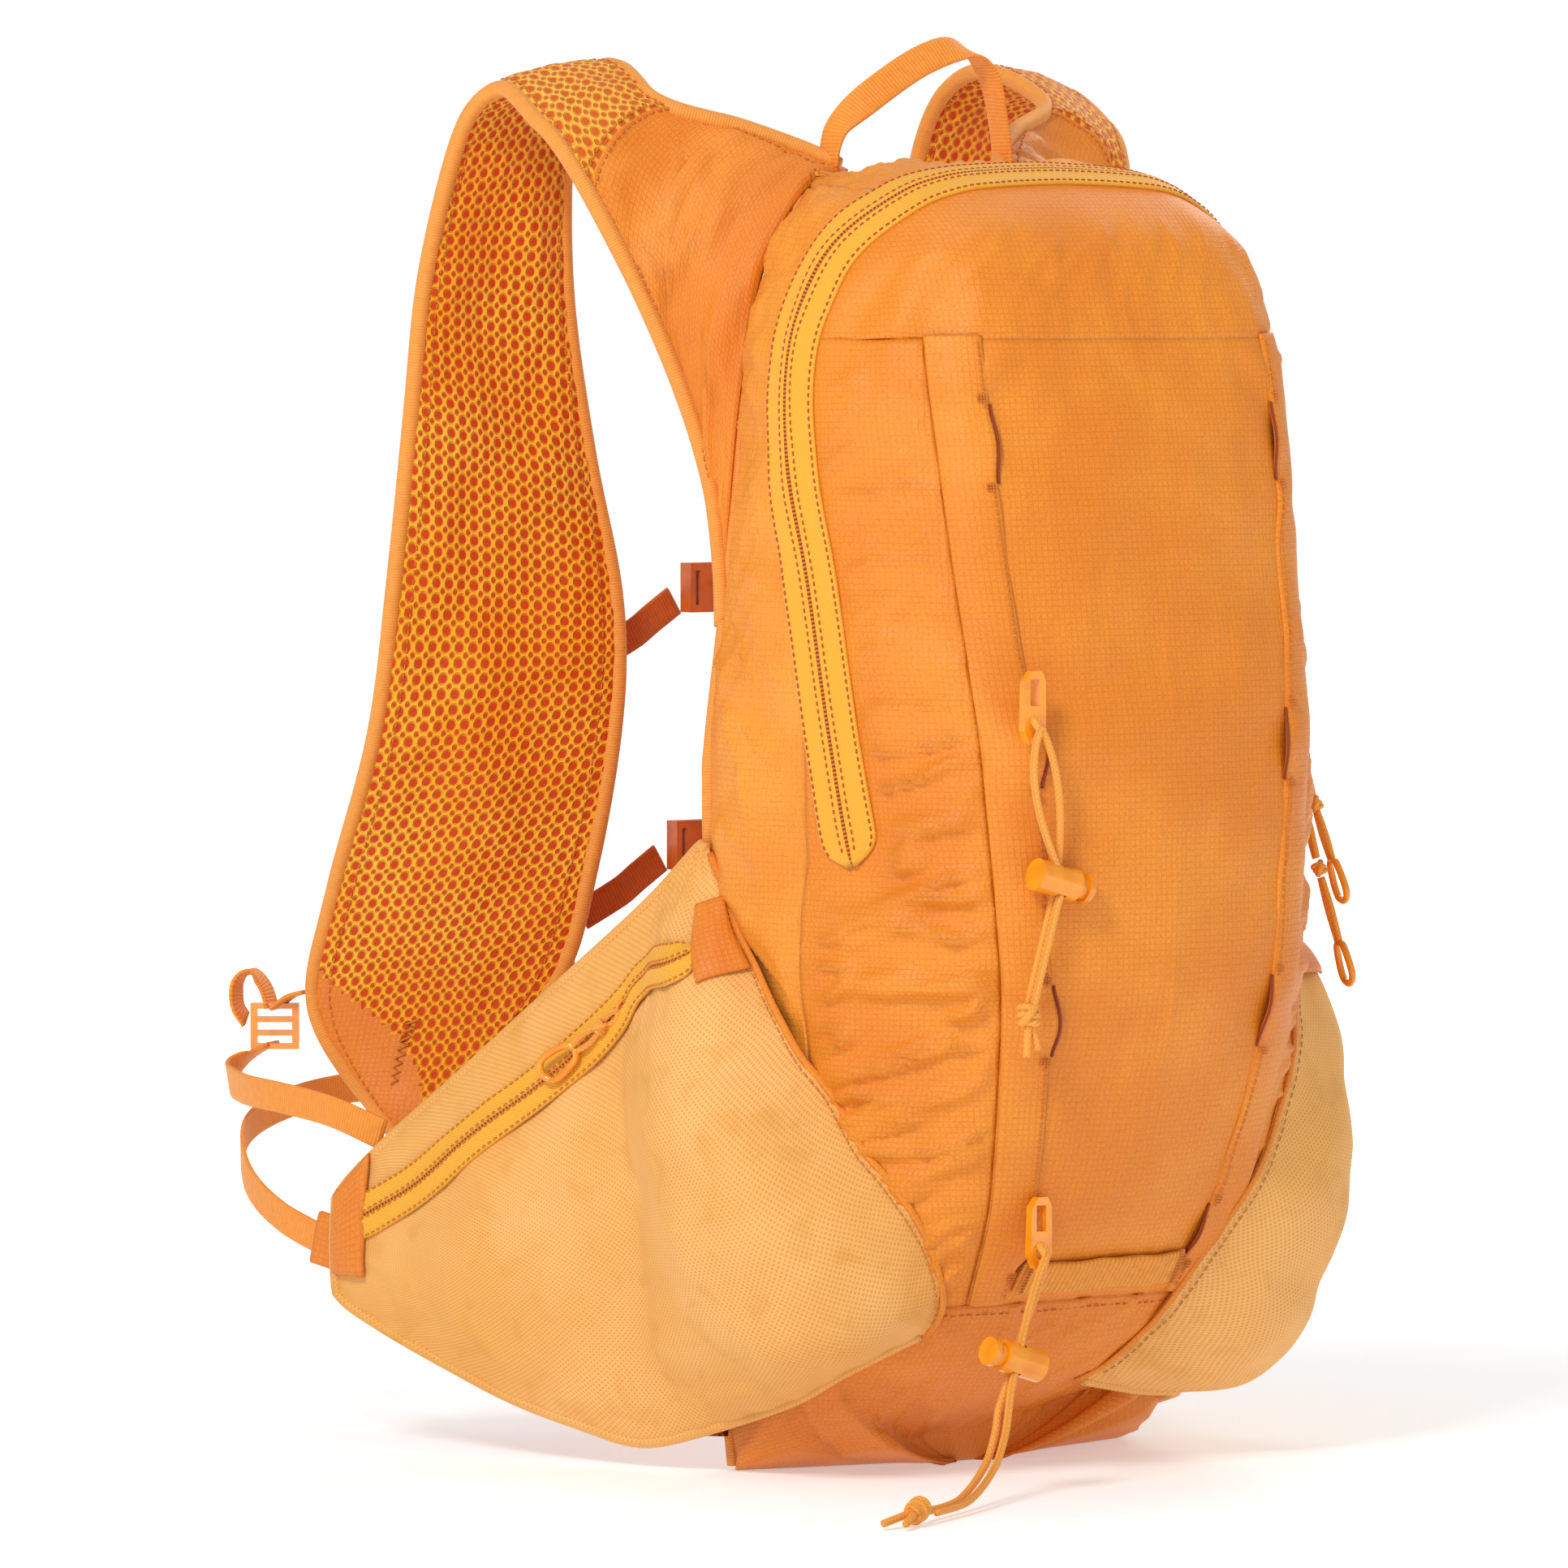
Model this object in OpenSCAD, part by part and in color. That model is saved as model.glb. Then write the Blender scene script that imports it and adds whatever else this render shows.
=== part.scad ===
// Small trail-running daypack in its own frame, in millimetres.
// The pack front faces -Y, the wearer stands on the +Y side, +Z is up.
// The origin lies on the floor under the middle of the flat base patch.
// Every fabric piece is a thin closed solid at its true place and size.
// Hardware (buckles, cord locks, sliders, hooks) has true round pins and bores.

/* [Bag] */
// Widest width of the bag, at mid height
bag_w = 178; // [170:2:184]
// Height of the bag without its straps
bag_h = 405; // [398:1:410]
// Distance from the wearer's side to the furthest point of the front
bag_d = 128; // [118:1:134]
// Thickness of the shell fabric panels
shell_t = 1.2; // [0.8:0.1:1.6]
// Thickness of the spacer mesh back panel
back_t = 5; // [4:0.5:6]

/* [Harness] */
// Thickness of the padded shoulder straps
strap_t = 7; // [5:0.5:8]
// Width of the webbing on the haul loop and the adjusters
web_w = 10; // [8:1:12]
// Thickness of all webbing
web_t = 1.4; // [1:0.1:1.8]
// Thickness of the hip wings at their thickest
wing_t = 15; // [10:1:17]

/* [Cords] */
// Diameter of the elastic shock cord
cord_d = 2.5; // [2:0.1:2.6]
// Length of a cord lock barrel
lock_len = 15; // [15:0.5:18]
// Diameter of a cord lock barrel
lock_d = 10; // [9.6:0.1:11]
// Radial clearance of every running pin and bore
clearance = 0.08; // [0.02:0.01:0.1]

/* [Hidden] */

// Colours
ripstop = [0.88, 0.50, 0.18];
ripstop_dark = [0.82, 0.43, 0.14];
stretch = [0.96, 0.66, 0.32];
spacer = [0.95, 0.55, 0.10];
golden = [0.93, 0.64, 0.17];
webbing_orange = [0.95, 0.62, 0.28];
strap_orange = [0.75, 0.36, 0.18];
plastic = [0.96, 0.64, 0.15];
foam_grey = [0.75, 0.75, 0.72];
steel = [0.70, 0.70, 0.72];

// Gap between neighbouring fabric pieces
seam_gap = 0.4;
back_y = 55;
front_y = back_y - bag_d;
half_w = bag_w / 2;
side_y = 0;
front_share = 0.7;
rear_half_w = 0.82;
// Quarter outline of the front, from its centre to the side: share of the half width
// and share of the forward reach
front_corner = [
  [0, 1], [0.22, 0.998], [0.43, 0.98], [0.64, 0.91], [0.79, 0.70], [0.92, 0.36], [1, 0]
];

// Share of the greatest half width at each share of the height
width_profile = [
  [0, 0.50], [0.03, 0.68], [0.08, 0.81], [0.15, 0.90], [0.22, 0.94], [0.39, 0.98], [0.58, 1],
  [0.74, 0.995], [0.84, 0.975], [0.885, 0.95], [0.945, 0.85], [0.98, 0.70], [1, 0.50]
];
// Share of the greatest forward reach at each share of the height
depth_profile = [
  [0, -0.30], [0.03, -0.06], [0.08, 0.23], [0.15, 0.46], [0.22, 0.66], [0.39, 0.92], [0.58, 1],
  [0.74, 0.91], [0.84, 0.82], [0.885, 0.76], [0.945, 0.63], [0.98, 0.46], [1, 0.22]
];

function bag_half_w(z) = half_w * lookup(z / bag_h, width_profile);
function bag_front(z) = front_y * lookup(z / bag_h, depth_profile);

// One point of the bag's outline at height z. u runs from the left rear edge (-1)
// round the front centre (0) to the right rear edge (1).
function outline(u, z) =
  let (
    q = spline(front_corner, min(abs(u) / front_share, 1) * (len(front_corner) - 1)),
    k = max(abs(u) - front_share, 0) / (1 - front_share),
    w = bag_half_w(z),
    x = w * q[0] * (1 - (1 - rear_half_w) * k * k),
    y = side_y - (side_y - bag_front(z)) * q[1]
        + k * (back_y - back_t - 1.5 - side_y)
  )
  [sign(u) * x, y];

// Outward normal of the outline, level with the floor
function outline_normal(u, z) =
  let (
    e = 0.012,
    d = outline(min(u + e, 1), z) - outline(max(u - e, -1), z)
  )
  [d[1], -d[0]] / norm(d);

function on_bag(u, z, off) =
  let (p = outline(u, z) + off * outline_normal(u, z))
  [p[0], p[1], z];

// Smooth curve through control points
function spline(p, t) =
  let (
    i = min(floor(t), len(p) - 2),
    f = t - i,
    a = p[max(i - 1, 0)],
    b = p[i],
    c = p[i + 1],
    d = p[min(i + 2, len(p) - 1)]
  )
  0.5 * (2 * b + (c - a) * f + (2 * a - 5 * b + 4 * c - d) * f * f
    + (3 * b - a - 3 * c + d) * f * f * f);

function smooth(p, n) = [for (i = [0:n]) spline(p, i / n * (len(p) - 1))];

function unit(v) = v / norm(v);

// Direction of a point list at point i
function heading(p, i) = unit(p[min(i + 1, len(p) - 1)] - p[max(i - 1, 0)]);

function middle(p, i = 0) = i == len(p) ? p[0] * 0 : p[i] / len(p) + middle(p, i + 1);

// Area vector of a ring, which tells the way round that its points run
function ring_area(p, i = 0) =
  i == len(p) ? [0, 0, 0] : cross(p[i], p[(i + 1) % len(p)]) + ring_area(p, i + 1);

// Closed solid through a stack of rings, all with the same even number of points
module loft(stack) {
  m = len(stack[0]);
  n = len(stack);
  step = middle(stack[1]) - middle(stack[0]);
  turned = ring_area(stack[0]) * step > 0;
  rings = turned ? [for (i = [n - 1:-1:0]) stack[i]] : stack;
  points = [for (r = rings) for (p = r) p];
  sides = [
    for (i = [0:n - 2])
      for (j = [0:m - 1])
        for (f = [
          [i * m + j, i * m + (j + 1) % m, (i + 1) * m + j],
          [i * m + (j + 1) % m, (i + 1) * m + (j + 1) % m, (i + 1) * m + j]
        ]) f
  ];
  // Each point of an end ring is joined to the one across from it
  last = [
    for (j = [0:m / 2 - 2])
      for (f = [[j, j + 1, m - 1 - j], [j + 1, m - 2 - j, m - 1 - j]]) f
  ];
  last_ends = [for (f = last) [for (i = f) (n - 1) * m + i]];
  first_ends = [for (f = last) [f[2], f[1], f[0]]];
  polyhedron(points = points, faces = concat(first_ends, sides, last_ends), convexity = 8);
}

// Flat strip along a path. across is the direction of its width at each end,
// blended along the path.
module strip(path, across_a, across_b, w, t) {
  n = len(path) - 1;
  loft([
    for (i = [0:n])
      let (
        h = heading(path, i),
        c0 = across_a + (across_b - across_a) * i / n,
        c = unit(c0 - h * (c0 * h)),
        k = cross(h, c)
      )
      [
        path[i] - c * w / 2 - k * t / 2,
        path[i] + c * w / 2 - k * t / 2,
        path[i] + c * w / 2 + k * t / 2,
        path[i] - c * w / 2 + k * t / 2
      ]
  ]);
}

// Round cord along a path
module cord(path, r, sides = 6) {
  up = [0.31, 0.22, 0.93];
  loft([
    for (i = [0:len(path) - 1])
      let (
        h = heading(path, i),
        a = unit(cross(up, h)),
        b = cross(h, a)
      )
      [for (j = [0:sides - 1]) path[i] + r * (cos(j * 360 / sides) * a + sin(j * 360 / sides) * b)]
  ]);
}

// Fabric panel on the bag between two outline positions, which may change with height
module panel(ua, ub, za, zb, off = 0, t = shell_t, nu = 14, nz = 16) {
  loft([
    for (i = [0:nz])
      let (
        f = i / nz,
        z = za + (zb - za) * f,
        u0 = ua[0] + (ua[1] - ua[0]) * f,
        u1 = ub[0] + (ub[1] - ub[0]) * f
      )
      concat(
        [for (j = [0:nu]) on_bag(u0 + (u1 - u0) * j / nu, z, off)],
        [for (j = [nu:-1:0]) on_bag(u0 + (u1 - u0) * j / nu, z, off - t)]
      )
  ]);
}

module left_of() mirror([1, 0, 0]) children();

/* Bag shell */
// Outline positions of the seams beside the front panel, at its foot and its top
seam_u = [0.265, 0.45];
zip_u = 0.66;
front_low_z = 56;
front_top_z = 354;
base_top_z = front_low_z - seam_gap;

module front_panel()
  color(ripstop)
    panel(-seam_u, seam_u, front_low_z, front_top_z);

module top_panel()
  color(ripstop)
    panel([-zip_u, -zip_u], [zip_u, zip_u], front_top_z + seam_gap, bag_h - 2, nu = 20, nz = 10);

module outer_panel()
  color(ripstop)
    panel(seam_u + [0.004, 0.004], [zip_u, zip_u], front_low_z, front_top_z, nu = 8);
module right_outer_panel() outer_panel();
module left_outer_panel() left_of() outer_panel();

module side_panel() {
  color(ripstop_dark)
    panel([zip_u + 0.004, zip_u + 0.004], [1, 1], front_low_z, bag_h - 14, nu = 7, nz = 16);
}
module right_side_panel() side_panel();
module left_side_panel() left_of() side_panel();

// Bowl that closes the bag from the flat base up to the lower seam
module base_panel() {
  nz = 6;
  nu = 39;
  inset = shell_t;
  rear = back_y - back_t - 1.5;
  function bowl_ring(z, off) = [
    for (j = [0:nu])
      let (p = on_bag(-1 + 2 * j / nu, z, off))
      [p[0], min(p[1], rear + off), z]
  ];
  levels = [for (i = [0:nz]) base_top_z * i / nz];
  color(ripstop_dark)
    loft(concat(
      [for (z = levels) bowl_ring(z, 0)],
      [for (i = [nz:-1:1]) bowl_ring(levels[i], -inset)],
      [[for (p = bowl_ring(0, -2 * inset)) p + [0, 0, shell_t]]]
    ));
}

back_half = half_w * rear_half_w - 3;
module back_panel() {
  profile = smooth([
    [back_half - 20, 3], [back_half - 8, 60], [back_half, 130], [back_half, 270],
    [back_half - 4, 340], [back_half - 20, 382], [34, 400]
  ], 24);
  color(spacer)
    translate([0, back_y, 0])
      rotate([90, 0, 0])
        linear_extrude(height = back_t)
          polygon(concat(profile, [for (i = [24:-1:0]) [-profile[i][0], profile[i][1]]]));
}

module back_foam() {
  foam_t = 4;
  foam_w = 120;
  foam_h = 290;
  hole_pitch = 24;
  color(foam_grey)
    translate([0, back_y - back_t - 2, 58])
      rotate([90, 0, 0])
        difference() {
          linear_extrude(height = foam_t)
            translate([-foam_w / 2, 0])
              square([foam_w, foam_h]);
          for (i = [-1:1], j = [0:8])
            translate([i * hole_pitch, 52 + j * hole_pitch, -1])
              cylinder(h = foam_t + 2, r = 5, $fn = 36);
        }
}

// Flat sleeve for a soft water bladder, hung inside the back
module hydration_sleeve() {
  sleeve_w = 116;
  color(ripstop_dark)
    translate([-sleeve_w / 2, back_y - back_t - 9.6, 60])
      difference() {
        cube([sleeve_w, 3, 262]);
        translate([1, 1, 1]) cube([sleeve_w - 2, 1, 262]);
      }
}

// Shoulder section, from the bag's top corners out to the strap roots
bag_edge = [
  [80, 57.5, 300], [79, 57.5, 333], [74, 57.5, 360], [62, 57.5, 382], [46, 58, 398], [30, 58, 404]
];
strap_root = [
  [111, 92, 409], [105, 93, 414], [98, 93.5, 419], [90, 93.5, 423.5], [82, 92.5, 427], [74, 90, 429]
];
module yoke_half() {
  yoke_t = 2;
  edge_n = 10;
  steps = 6;
  a = smooth(bag_edge, edge_n);
  b = smooth(strap_root, edge_n);
  loft([
    for (i = [0:steps])
      let (f = i / steps, lift = [0, 0, 5 * sin(180 * f)])
      concat(
        [for (j = [0:edge_n]) a[j] + (b[j] - a[j]) * f + lift + [0, yoke_t * 0.7, yoke_t * 0.7]],
        [for (j = [edge_n:-1:0]) a[j] + (b[j] - a[j]) * f + lift]
      )
  ]);
}

// Top cloth behind the zip and the shoulder section on each side
module yoke() {
  rim_z = bag_h - 2 + seam_gap;
  rim = [for (j = [0:30]) outline(-0.97 + 1.94 * j / 30, rim_z)];
  color(ripstop_dark) {
    yoke_half();
    left_of() yoke_half();
    translate([0, 0, rim_z])
      linear_extrude(height = shell_t)
        polygon(rim);
  }
}

// Course of the main zip on one leg: outline position and height
zip_leg = [
  [0.585, 193], [0.60, 208], [0.62, 235], [0.655, 285], [0.72, 318], [0.76, 341], [0.76, 362],
  [0.73, 382], [0.68, 392], [0.60, 397]
];
zip_off = 2.6;
zip_t = 1.2;
zip_across = [-1, -0.5, 0, 0.5, 1];
function zip_ring(u, z, du) = concat(
  [for (k = zip_across) on_bag(u + k * du, z, zip_off - zip_t)],
  [for (k = zip_across) on_bag(u - k * du, z, zip_off)]
);
// Each leg ends at the top corner, where the crown piece of the same zip takes over
module zip_leg_part() {
  n = 30;
  loft([
    for (i = [0:n])
      let (p = spline(zip_leg, i / n * (len(zip_leg) - 1)))
      zip_ring(p[0], p[1], 0.055)
  ]);
}
module main_zip_tape() {
  crown_z = bag_h + 0.4;
  crown_w = 18;
  crown = [for (j = [0:20]) outline(-0.6 + 1.2 * j / 20, bag_h - 1)];
  color(golden) {
    zip_leg_part();
    left_of() zip_leg_part();
    translate([0, 0, crown_z])
      linear_extrude(height = zip_t)
        polygon(concat(
          [for (p = crown) p + [0, 1]],
          [for (j = [20:-1:0]) crown[j] * 0.9 + [0, crown_w]]
        ));
  }
}

/* Front details */
// Free inner edge of a strip, at its foot and its top
daisy_edge_u = [0.21, 0.345];
module daisy_strip() {
  color(ripstop_dark)
    panel(
      daisy_edge_u, seam_u - [0.004, 0.01], front_low_z + 2, front_top_z - 1,
      off = 4, nu = 5, nz = 20
    );
}
module right_daisy_strip() daisy_strip();
module left_daisy_strip() left_of() daisy_strip();

band_u = 0.19;
band_z = front_low_z + 5;
module bottom_band()
  color(webbing_orange)
    panel([-band_u, -band_u], [band_u, band_u], band_z, band_z + web_w, off = 2.8, t = web_t, nz = 3);

/* Hip pockets on the bag's sides */
// Front edge of a pocket: height and outline position
pocket_front = [
  [10, 0.60], [20, 0.47], [35, 0.38], [50, 0.35], [58, 0.35], [158, 0.76], [196, 0.95]
];
pocket_low_z = 10;
pocket_top_z = 196;
pocket_bulge = 25;
pocket_lift = 3.8;
pocket_skin = 1;
function pocket_off(f, z) =
  let (h = (z - pocket_low_z) / (pocket_top_z - pocket_low_z))
  pocket_lift + pocket_bulge * pow(sin(180 * f), 0.9) * sin(180 * h);
module pocket_panel() {
  nz = 18;
  nu = 14;
  color(stretch)
    loft([
      for (i = [0:nz])
        let (
          z = pocket_low_z + (pocket_top_z - pocket_low_z) * i / nz,
          uf = lookup(z, pocket_front)
        )
        concat(
          [for (j = [0:nu]) on_bag(uf + (1 - uf) * j / nu, z, pocket_off(j / nu, z))],
          [for (j = [nu:-1:0]) on_bag(uf + (1 - uf) * j / nu, z, pocket_off(j / nu, z) - pocket_skin)]
        )
    ]);
}
module right_pocket_panel() pocket_panel();
module left_pocket_panel() left_of() pocket_panel();

module haul_loop() {
  loop = smooth([
    [-34, 56, 411], [-30, 56, 419], [-16, 55, 431], [2, 55, 442],
    [17, 55, 445], [27, 55, 438], [33, 56, 421], [34, 56, 411]
  ], 28);
  color(webbing_orange)
    strip(loop, [0, 1, 0], [0.5, 1, 0], web_w, web_t);
}

/* Shoulder straps */
strap_outer = [
  [112, 98.5, 412], [114, 110, 423], [113, 125, 432], [115, 141, 425], [118, 150, 405], [121, 160, 370],
  [122, 166, 330], [122, 176, 279], [121, 190, 226], [117, 222, 172], [112, 240, 132], [100, 212, 96]
];
strap_inner = [
  [74, 97, 431.5], [71, 108, 438], [70, 125, 440], [68, 141, 432], [66, 152, 410], [62, 157, 365],
  [53, 158, 315], [45, 154, 270], [46, 152, 232], [51, 160, 181], [60, 170, 142], [88, 204, 92]
];
strap_n = 34;
strap_a = smooth(strap_outer, strap_n);
strap_b = smooth(strap_inner, strap_n);
strap_mid = (strap_a + strap_b) / 2;
function strap_point(i, v, off) =
  let (
    across = unit(strap_b[i] - strap_a[i]),
    k = unit(cross(heading(strap_mid, i), across))
  )
  strap_a[i] + (strap_b[i] - strap_a[i]) * v + k * off;
function strap_half_t(v) = strap_t / 2 * (0.35 + 0.65 * pow(sin(180 * v), 0.6));

// Straight cord rail on the outside of the strap, which the chest strap's clip rides
rail_x = 52;
upper_rail_y = 167;
lower_rail_y = 175;
rail_r = 1.5;
upper_z = 250;
lower_z = 166;
rail_half = 27;
module rail(y, z) {
  post = 4;
  translate([rail_x, y, z - rail_half])
    cylinder(h = 2 * rail_half, r = rail_r, $fn = 48);
  for (end = [-1, 1])
    translate([rail_x - post / 2, y - 1.5, z + end * (rail_half + post / 2) - post / 2])
      cube([post, 3, post]);
}
module strap() {
  nv = 6;
  color(spacer)
    loft([
      for (i = [0:strap_n])
        concat(
          [for (j = [0:nv]) strap_point(i, j / nv, strap_half_t(j / nv))],
          [for (j = [nv:-1:0]) strap_point(i, j / nv, -strap_half_t(j / nv))]
        )
    ]);
  color(webbing_orange) {
    rail(upper_rail_y, upper_z);
    rail(lower_rail_y, lower_z);
  }
}
module right_strap() strap();
module left_strap() left_of() strap();

// Open-topped stretch pocket on the outside of the strap
module strap_pocket() {
  first = 19;
  last = 28;
  nv = 8;
  edge_v = 0.06;
  span_v = 0.54;
  skin = 1;
  lift = strap_t / 2 + 0.8;
  bulge = 11;
  function side(i, j, out) =
    let (rise = bulge * sin(90 * min(1, (last - i) / 4)))
    strap_point(i, edge_v + span_v * j / nv, lift + out + rise * sin(180 * j / nv));
  color(stretch)
    loft([
      for (i = [first:last])
        concat(
          [for (j = [0:nv]) side(i, j, skin)],
          [for (j = [nv:-1:0]) side(i, j, 0)]
        )
    ]);
}
module right_strap_pocket() strap_pocket();
module left_strap_pocket() left_of() strap_pocket();

/* Strap adjusters */
lock_at = [114, 256, 128];
lock_w = 16;
lock_h = 15;
module ladder_lock() {
  bar = 2.4;
  color(plastic)
    translate(lock_at)
      rotate([0, 0, 35])
        difference() {
          translate([-lock_w / 2, -2, -lock_h / 2]) cube([lock_w, 4, lock_h]);
          for (row = [-1, 0, 1])
            translate([-lock_w / 2 + bar, -3, row * 4.4 - 1.3])
              cube([lock_w - 2 * bar, 6, 2.6]);
        }
}
module right_ladder_lock() ladder_lock();
module left_ladder_lock() left_of() ladder_lock();

module adjuster_webbing() {
  path = smooth([
    [121, 263, 119], [130, 254, 114], [137, 234, 110], [140, 205, 107], [138, 174, 105]
  ], 16);
  color(webbing_orange)
    strip(path, [0, 0, 1], [0, 0, 1], web_w, web_t);
}
module right_adjuster_webbing() adjuster_webbing();
module left_adjuster_webbing() left_of() adjuster_webbing();

/* Hip wings */
wing_path = [[83, 55], [97, 80], [113, 112], [128, 142], [143, 170]];
wing_low = [[0, 5], [0.25, 9], [0.5, 18], [0.75, 32], [1, 48]];
wing_high = [[0, 196], [0.25, 168], [0.5, 138], [0.75, 110], [1, 82]];
wing_swell = [[0, 0.45], [0.25, 0.85], [0.5, 1], [0.75, 0.75], [1, 0.2]];
wing_skin = 3;
function wing_plan(s) = spline(wing_path, s * (len(wing_path) - 1));
function wing_out(s) =
  let (d = wing_plan(min(s + 0.02, 1)) - wing_plan(max(s - 0.02, 0)))
  unit([d[1], -d[0]]);
// k runs from the lower edge (0) to the upper edge (1)
function wing_point(s, k, off) =
  let (
    z = lookup(s, wing_low) + k * (lookup(s, wing_high) - lookup(s, wing_low)),
    swell = lookup(s, wing_swell) * pow(max(sin(180 * k), 0), 0.7),
    reach = wing_skin + (wing_t - wing_skin) * swell + off,
    p = wing_plan(s) + wing_out(s) * reach
  )
  [p[0], p[1], z];
function wing_inner(s, k) =
  let (p = wing_point(s, k, 0), q = wing_plan(s)) [q[0], q[1], p[2]];

module wing() {
  ns = 18;
  nk = 12;
  color(stretch)
    loft([
      for (i = [0:ns])
        concat(
          [for (j = [0:nk]) wing_inner(i / ns, j / nk)],
          [for (j = [nk:-1:0]) wing_point(i / ns, j / nk, 0)]
        )
    ]);
}
module right_wing() wing();
module left_wing() left_of() wing();

hip_zip_k = [[0, 0.84], [0.5, 0.78], [1, 0.56]];
module hip_zip_tape() {
  ns = 16;
  half_k = 0.05;
  tape_gap = 1;
  color(golden)
    loft([
      for (i = [0:ns])
        let (s = 0.04 + 0.93 * i / ns, k = lookup(s, hip_zip_k))
        [
          wing_point(s, k - half_k, tape_gap), wing_point(s, k + half_k, tape_gap),
          wing_point(s, k + half_k, tape_gap + 1), wing_point(s, k - half_k, tape_gap + 1)
        ]
    ]);
}
module right_hip_zip_tape() hip_zip_tape();
module left_hip_zip_tape() left_of() hip_zip_tape();

/* Waist belt */
belt_y = 285;
belt_z = 105;
// Distance of the unclipped belt buckle's halves from the symmetry plane
belt_gap = 7;
module belt_webbing(end_x) {
  path = smooth([
    [147, 176, 66], [148, 198, 72], [143, 228, 83], [128, 251, 94], [102, 269, 101],
    [66, 281, belt_z - 1], [end_x, belt_y, belt_z]
  ], 26);
  color(webbing_orange)
    strip(path, [0, 0, 1], [0, 0, 1], web_w, web_t);
}
module right_belt_webbing() belt_webbing(belt_gap + 18.5);
module left_belt_webbing() left_of() belt_webbing(belt_gap + 11);

/* Side-release buckle. The mouth of the female half is at the origin and opens towards +X */
buckle_w = 16;
buckle_t = 6;
socket_l = 16;
prong_l = 10;
module buckle_female() {
  wall = 1.3;
  bar = 2;
  difference() {
    translate([-socket_l, -buckle_t / 2, -buckle_w / 2])
      cube([socket_l, buckle_t, buckle_w]);
    translate([-prong_l - 1.5, -buckle_t / 2 + wall, -buckle_w / 2 + wall])
      cube([prong_l + 2.5, buckle_t - 2 * wall, buckle_w - 2 * wall]);
    translate([-socket_l + bar, -buckle_t, -buckle_w / 2 + 2.4])
      cube([1.8, 2 * buckle_t, buckle_w - 4.8]);
  }
}
// Male half, clipped in. Its prongs reach into the socket
module buckle_male() {
  base_l = 9;
  bar = 2;
  prong_t = 2.4;
  difference() {
    translate([0.5, -buckle_t / 2 + 0.4, -buckle_w / 2])
      cube([base_l, buckle_t - 0.8, buckle_w]);
    translate([0.5 + base_l - bar - 3, -buckle_t, -buckle_w / 2 + 2.4])
      cube([3, 2 * buckle_t, buckle_w - 4.8]);
  }
  for (side = [-1, 1])
    translate([-prong_l, -prong_t / 2, side * 4.6 - 1.1])
      cube([prong_l + 0.6, prong_t, 2.2]);
  translate([-prong_l + 2, -prong_t / 2, -0.9])
    cube([prong_l - 1.4, prong_t, 1.8]);
}
module belt_buckle_male()
  color(plastic)
    translate([belt_gap + prong_l - 2, belt_y, belt_z]) buckle_male();
module belt_buckle_female()
  color(plastic)
    translate([-belt_gap + 6, belt_y, belt_z]) buckle_female();

/* Chest straps */
clip_l = 10;
chest_rise = 22;
// One clip on its rail, with the webbing that rises from it towards the buckle
module sternum_half(y, z, end_x) {
  clip = 7;
  rise = atan2(chest_rise, rail_x - 14);
  run = (rail_x - 5 - end_x) / cos(rise);
  color(plastic)
    difference() {
      translate([rail_x - clip / 2, y - clip / 2, z - clip_l / 2])
        cube([clip, clip, clip_l]);
      translate([rail_x, y, z - clip_l])
        cylinder(h = 2 * clip_l, r = rail_r + clearance, $fn = 48);
    }
  color(strap_orange)
    translate([rail_x - 5, y, z])
      rotate([0, rise, 0])
        translate([-run, -web_t / 2, -web_w / 2])
          cube([run, web_t, web_w]);
}
module chest_buckle_at(y, z)
  translate([0, y - 5.5, z + chest_rise]) children();

module upper_sternum_left() left_of() sternum_half(upper_rail_y, upper_z, 17);
module upper_sternum_right() sternum_half(upper_rail_y, upper_z, 10);
module lower_sternum_left() left_of() sternum_half(lower_rail_y, lower_z, 17);
module lower_sternum_right() sternum_half(lower_rail_y, lower_z, 10);
module upper_buckle_male() color(strap_orange) chest_buckle_at(upper_rail_y, upper_z) buckle_male();
module upper_buckle_female() color(strap_orange) chest_buckle_at(upper_rail_y, upper_z) buckle_female();
module lower_buckle_male() color(strap_orange) chest_buckle_at(lower_rail_y, lower_z) buckle_male();
module lower_buckle_female() color(strap_orange) chest_buckle_at(lower_rail_y, lower_z) buckle_female();

/* Zip sliders and pulls, drawn with outward along -Y and the free pull along -Z */
slider_w = 6;
slider_l = 9;
slider_t = 2.4;
slider_gap = 0.5;
pin_r = 0.6;
pin_out = slider_gap + slider_t + 1.9;
module slider() {
  lug = 1.2;
  translate([-slider_w / 2, -slider_gap - slider_t, -slider_l / 2])
    cube([slider_w, slider_t, slider_l]);
  for (side = [-1, 1])
    translate([side * (slider_w / 2 - lug / 2) - lug / 2, -pin_out - 1, -1.5])
      cube([lug, 3, 3]);
  translate([-slider_w / 2, -pin_out, 0])
    rotate([0, 90, 0])
      cylinder(h = slider_w, r = pin_r, $fn = 36);
}
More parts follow.
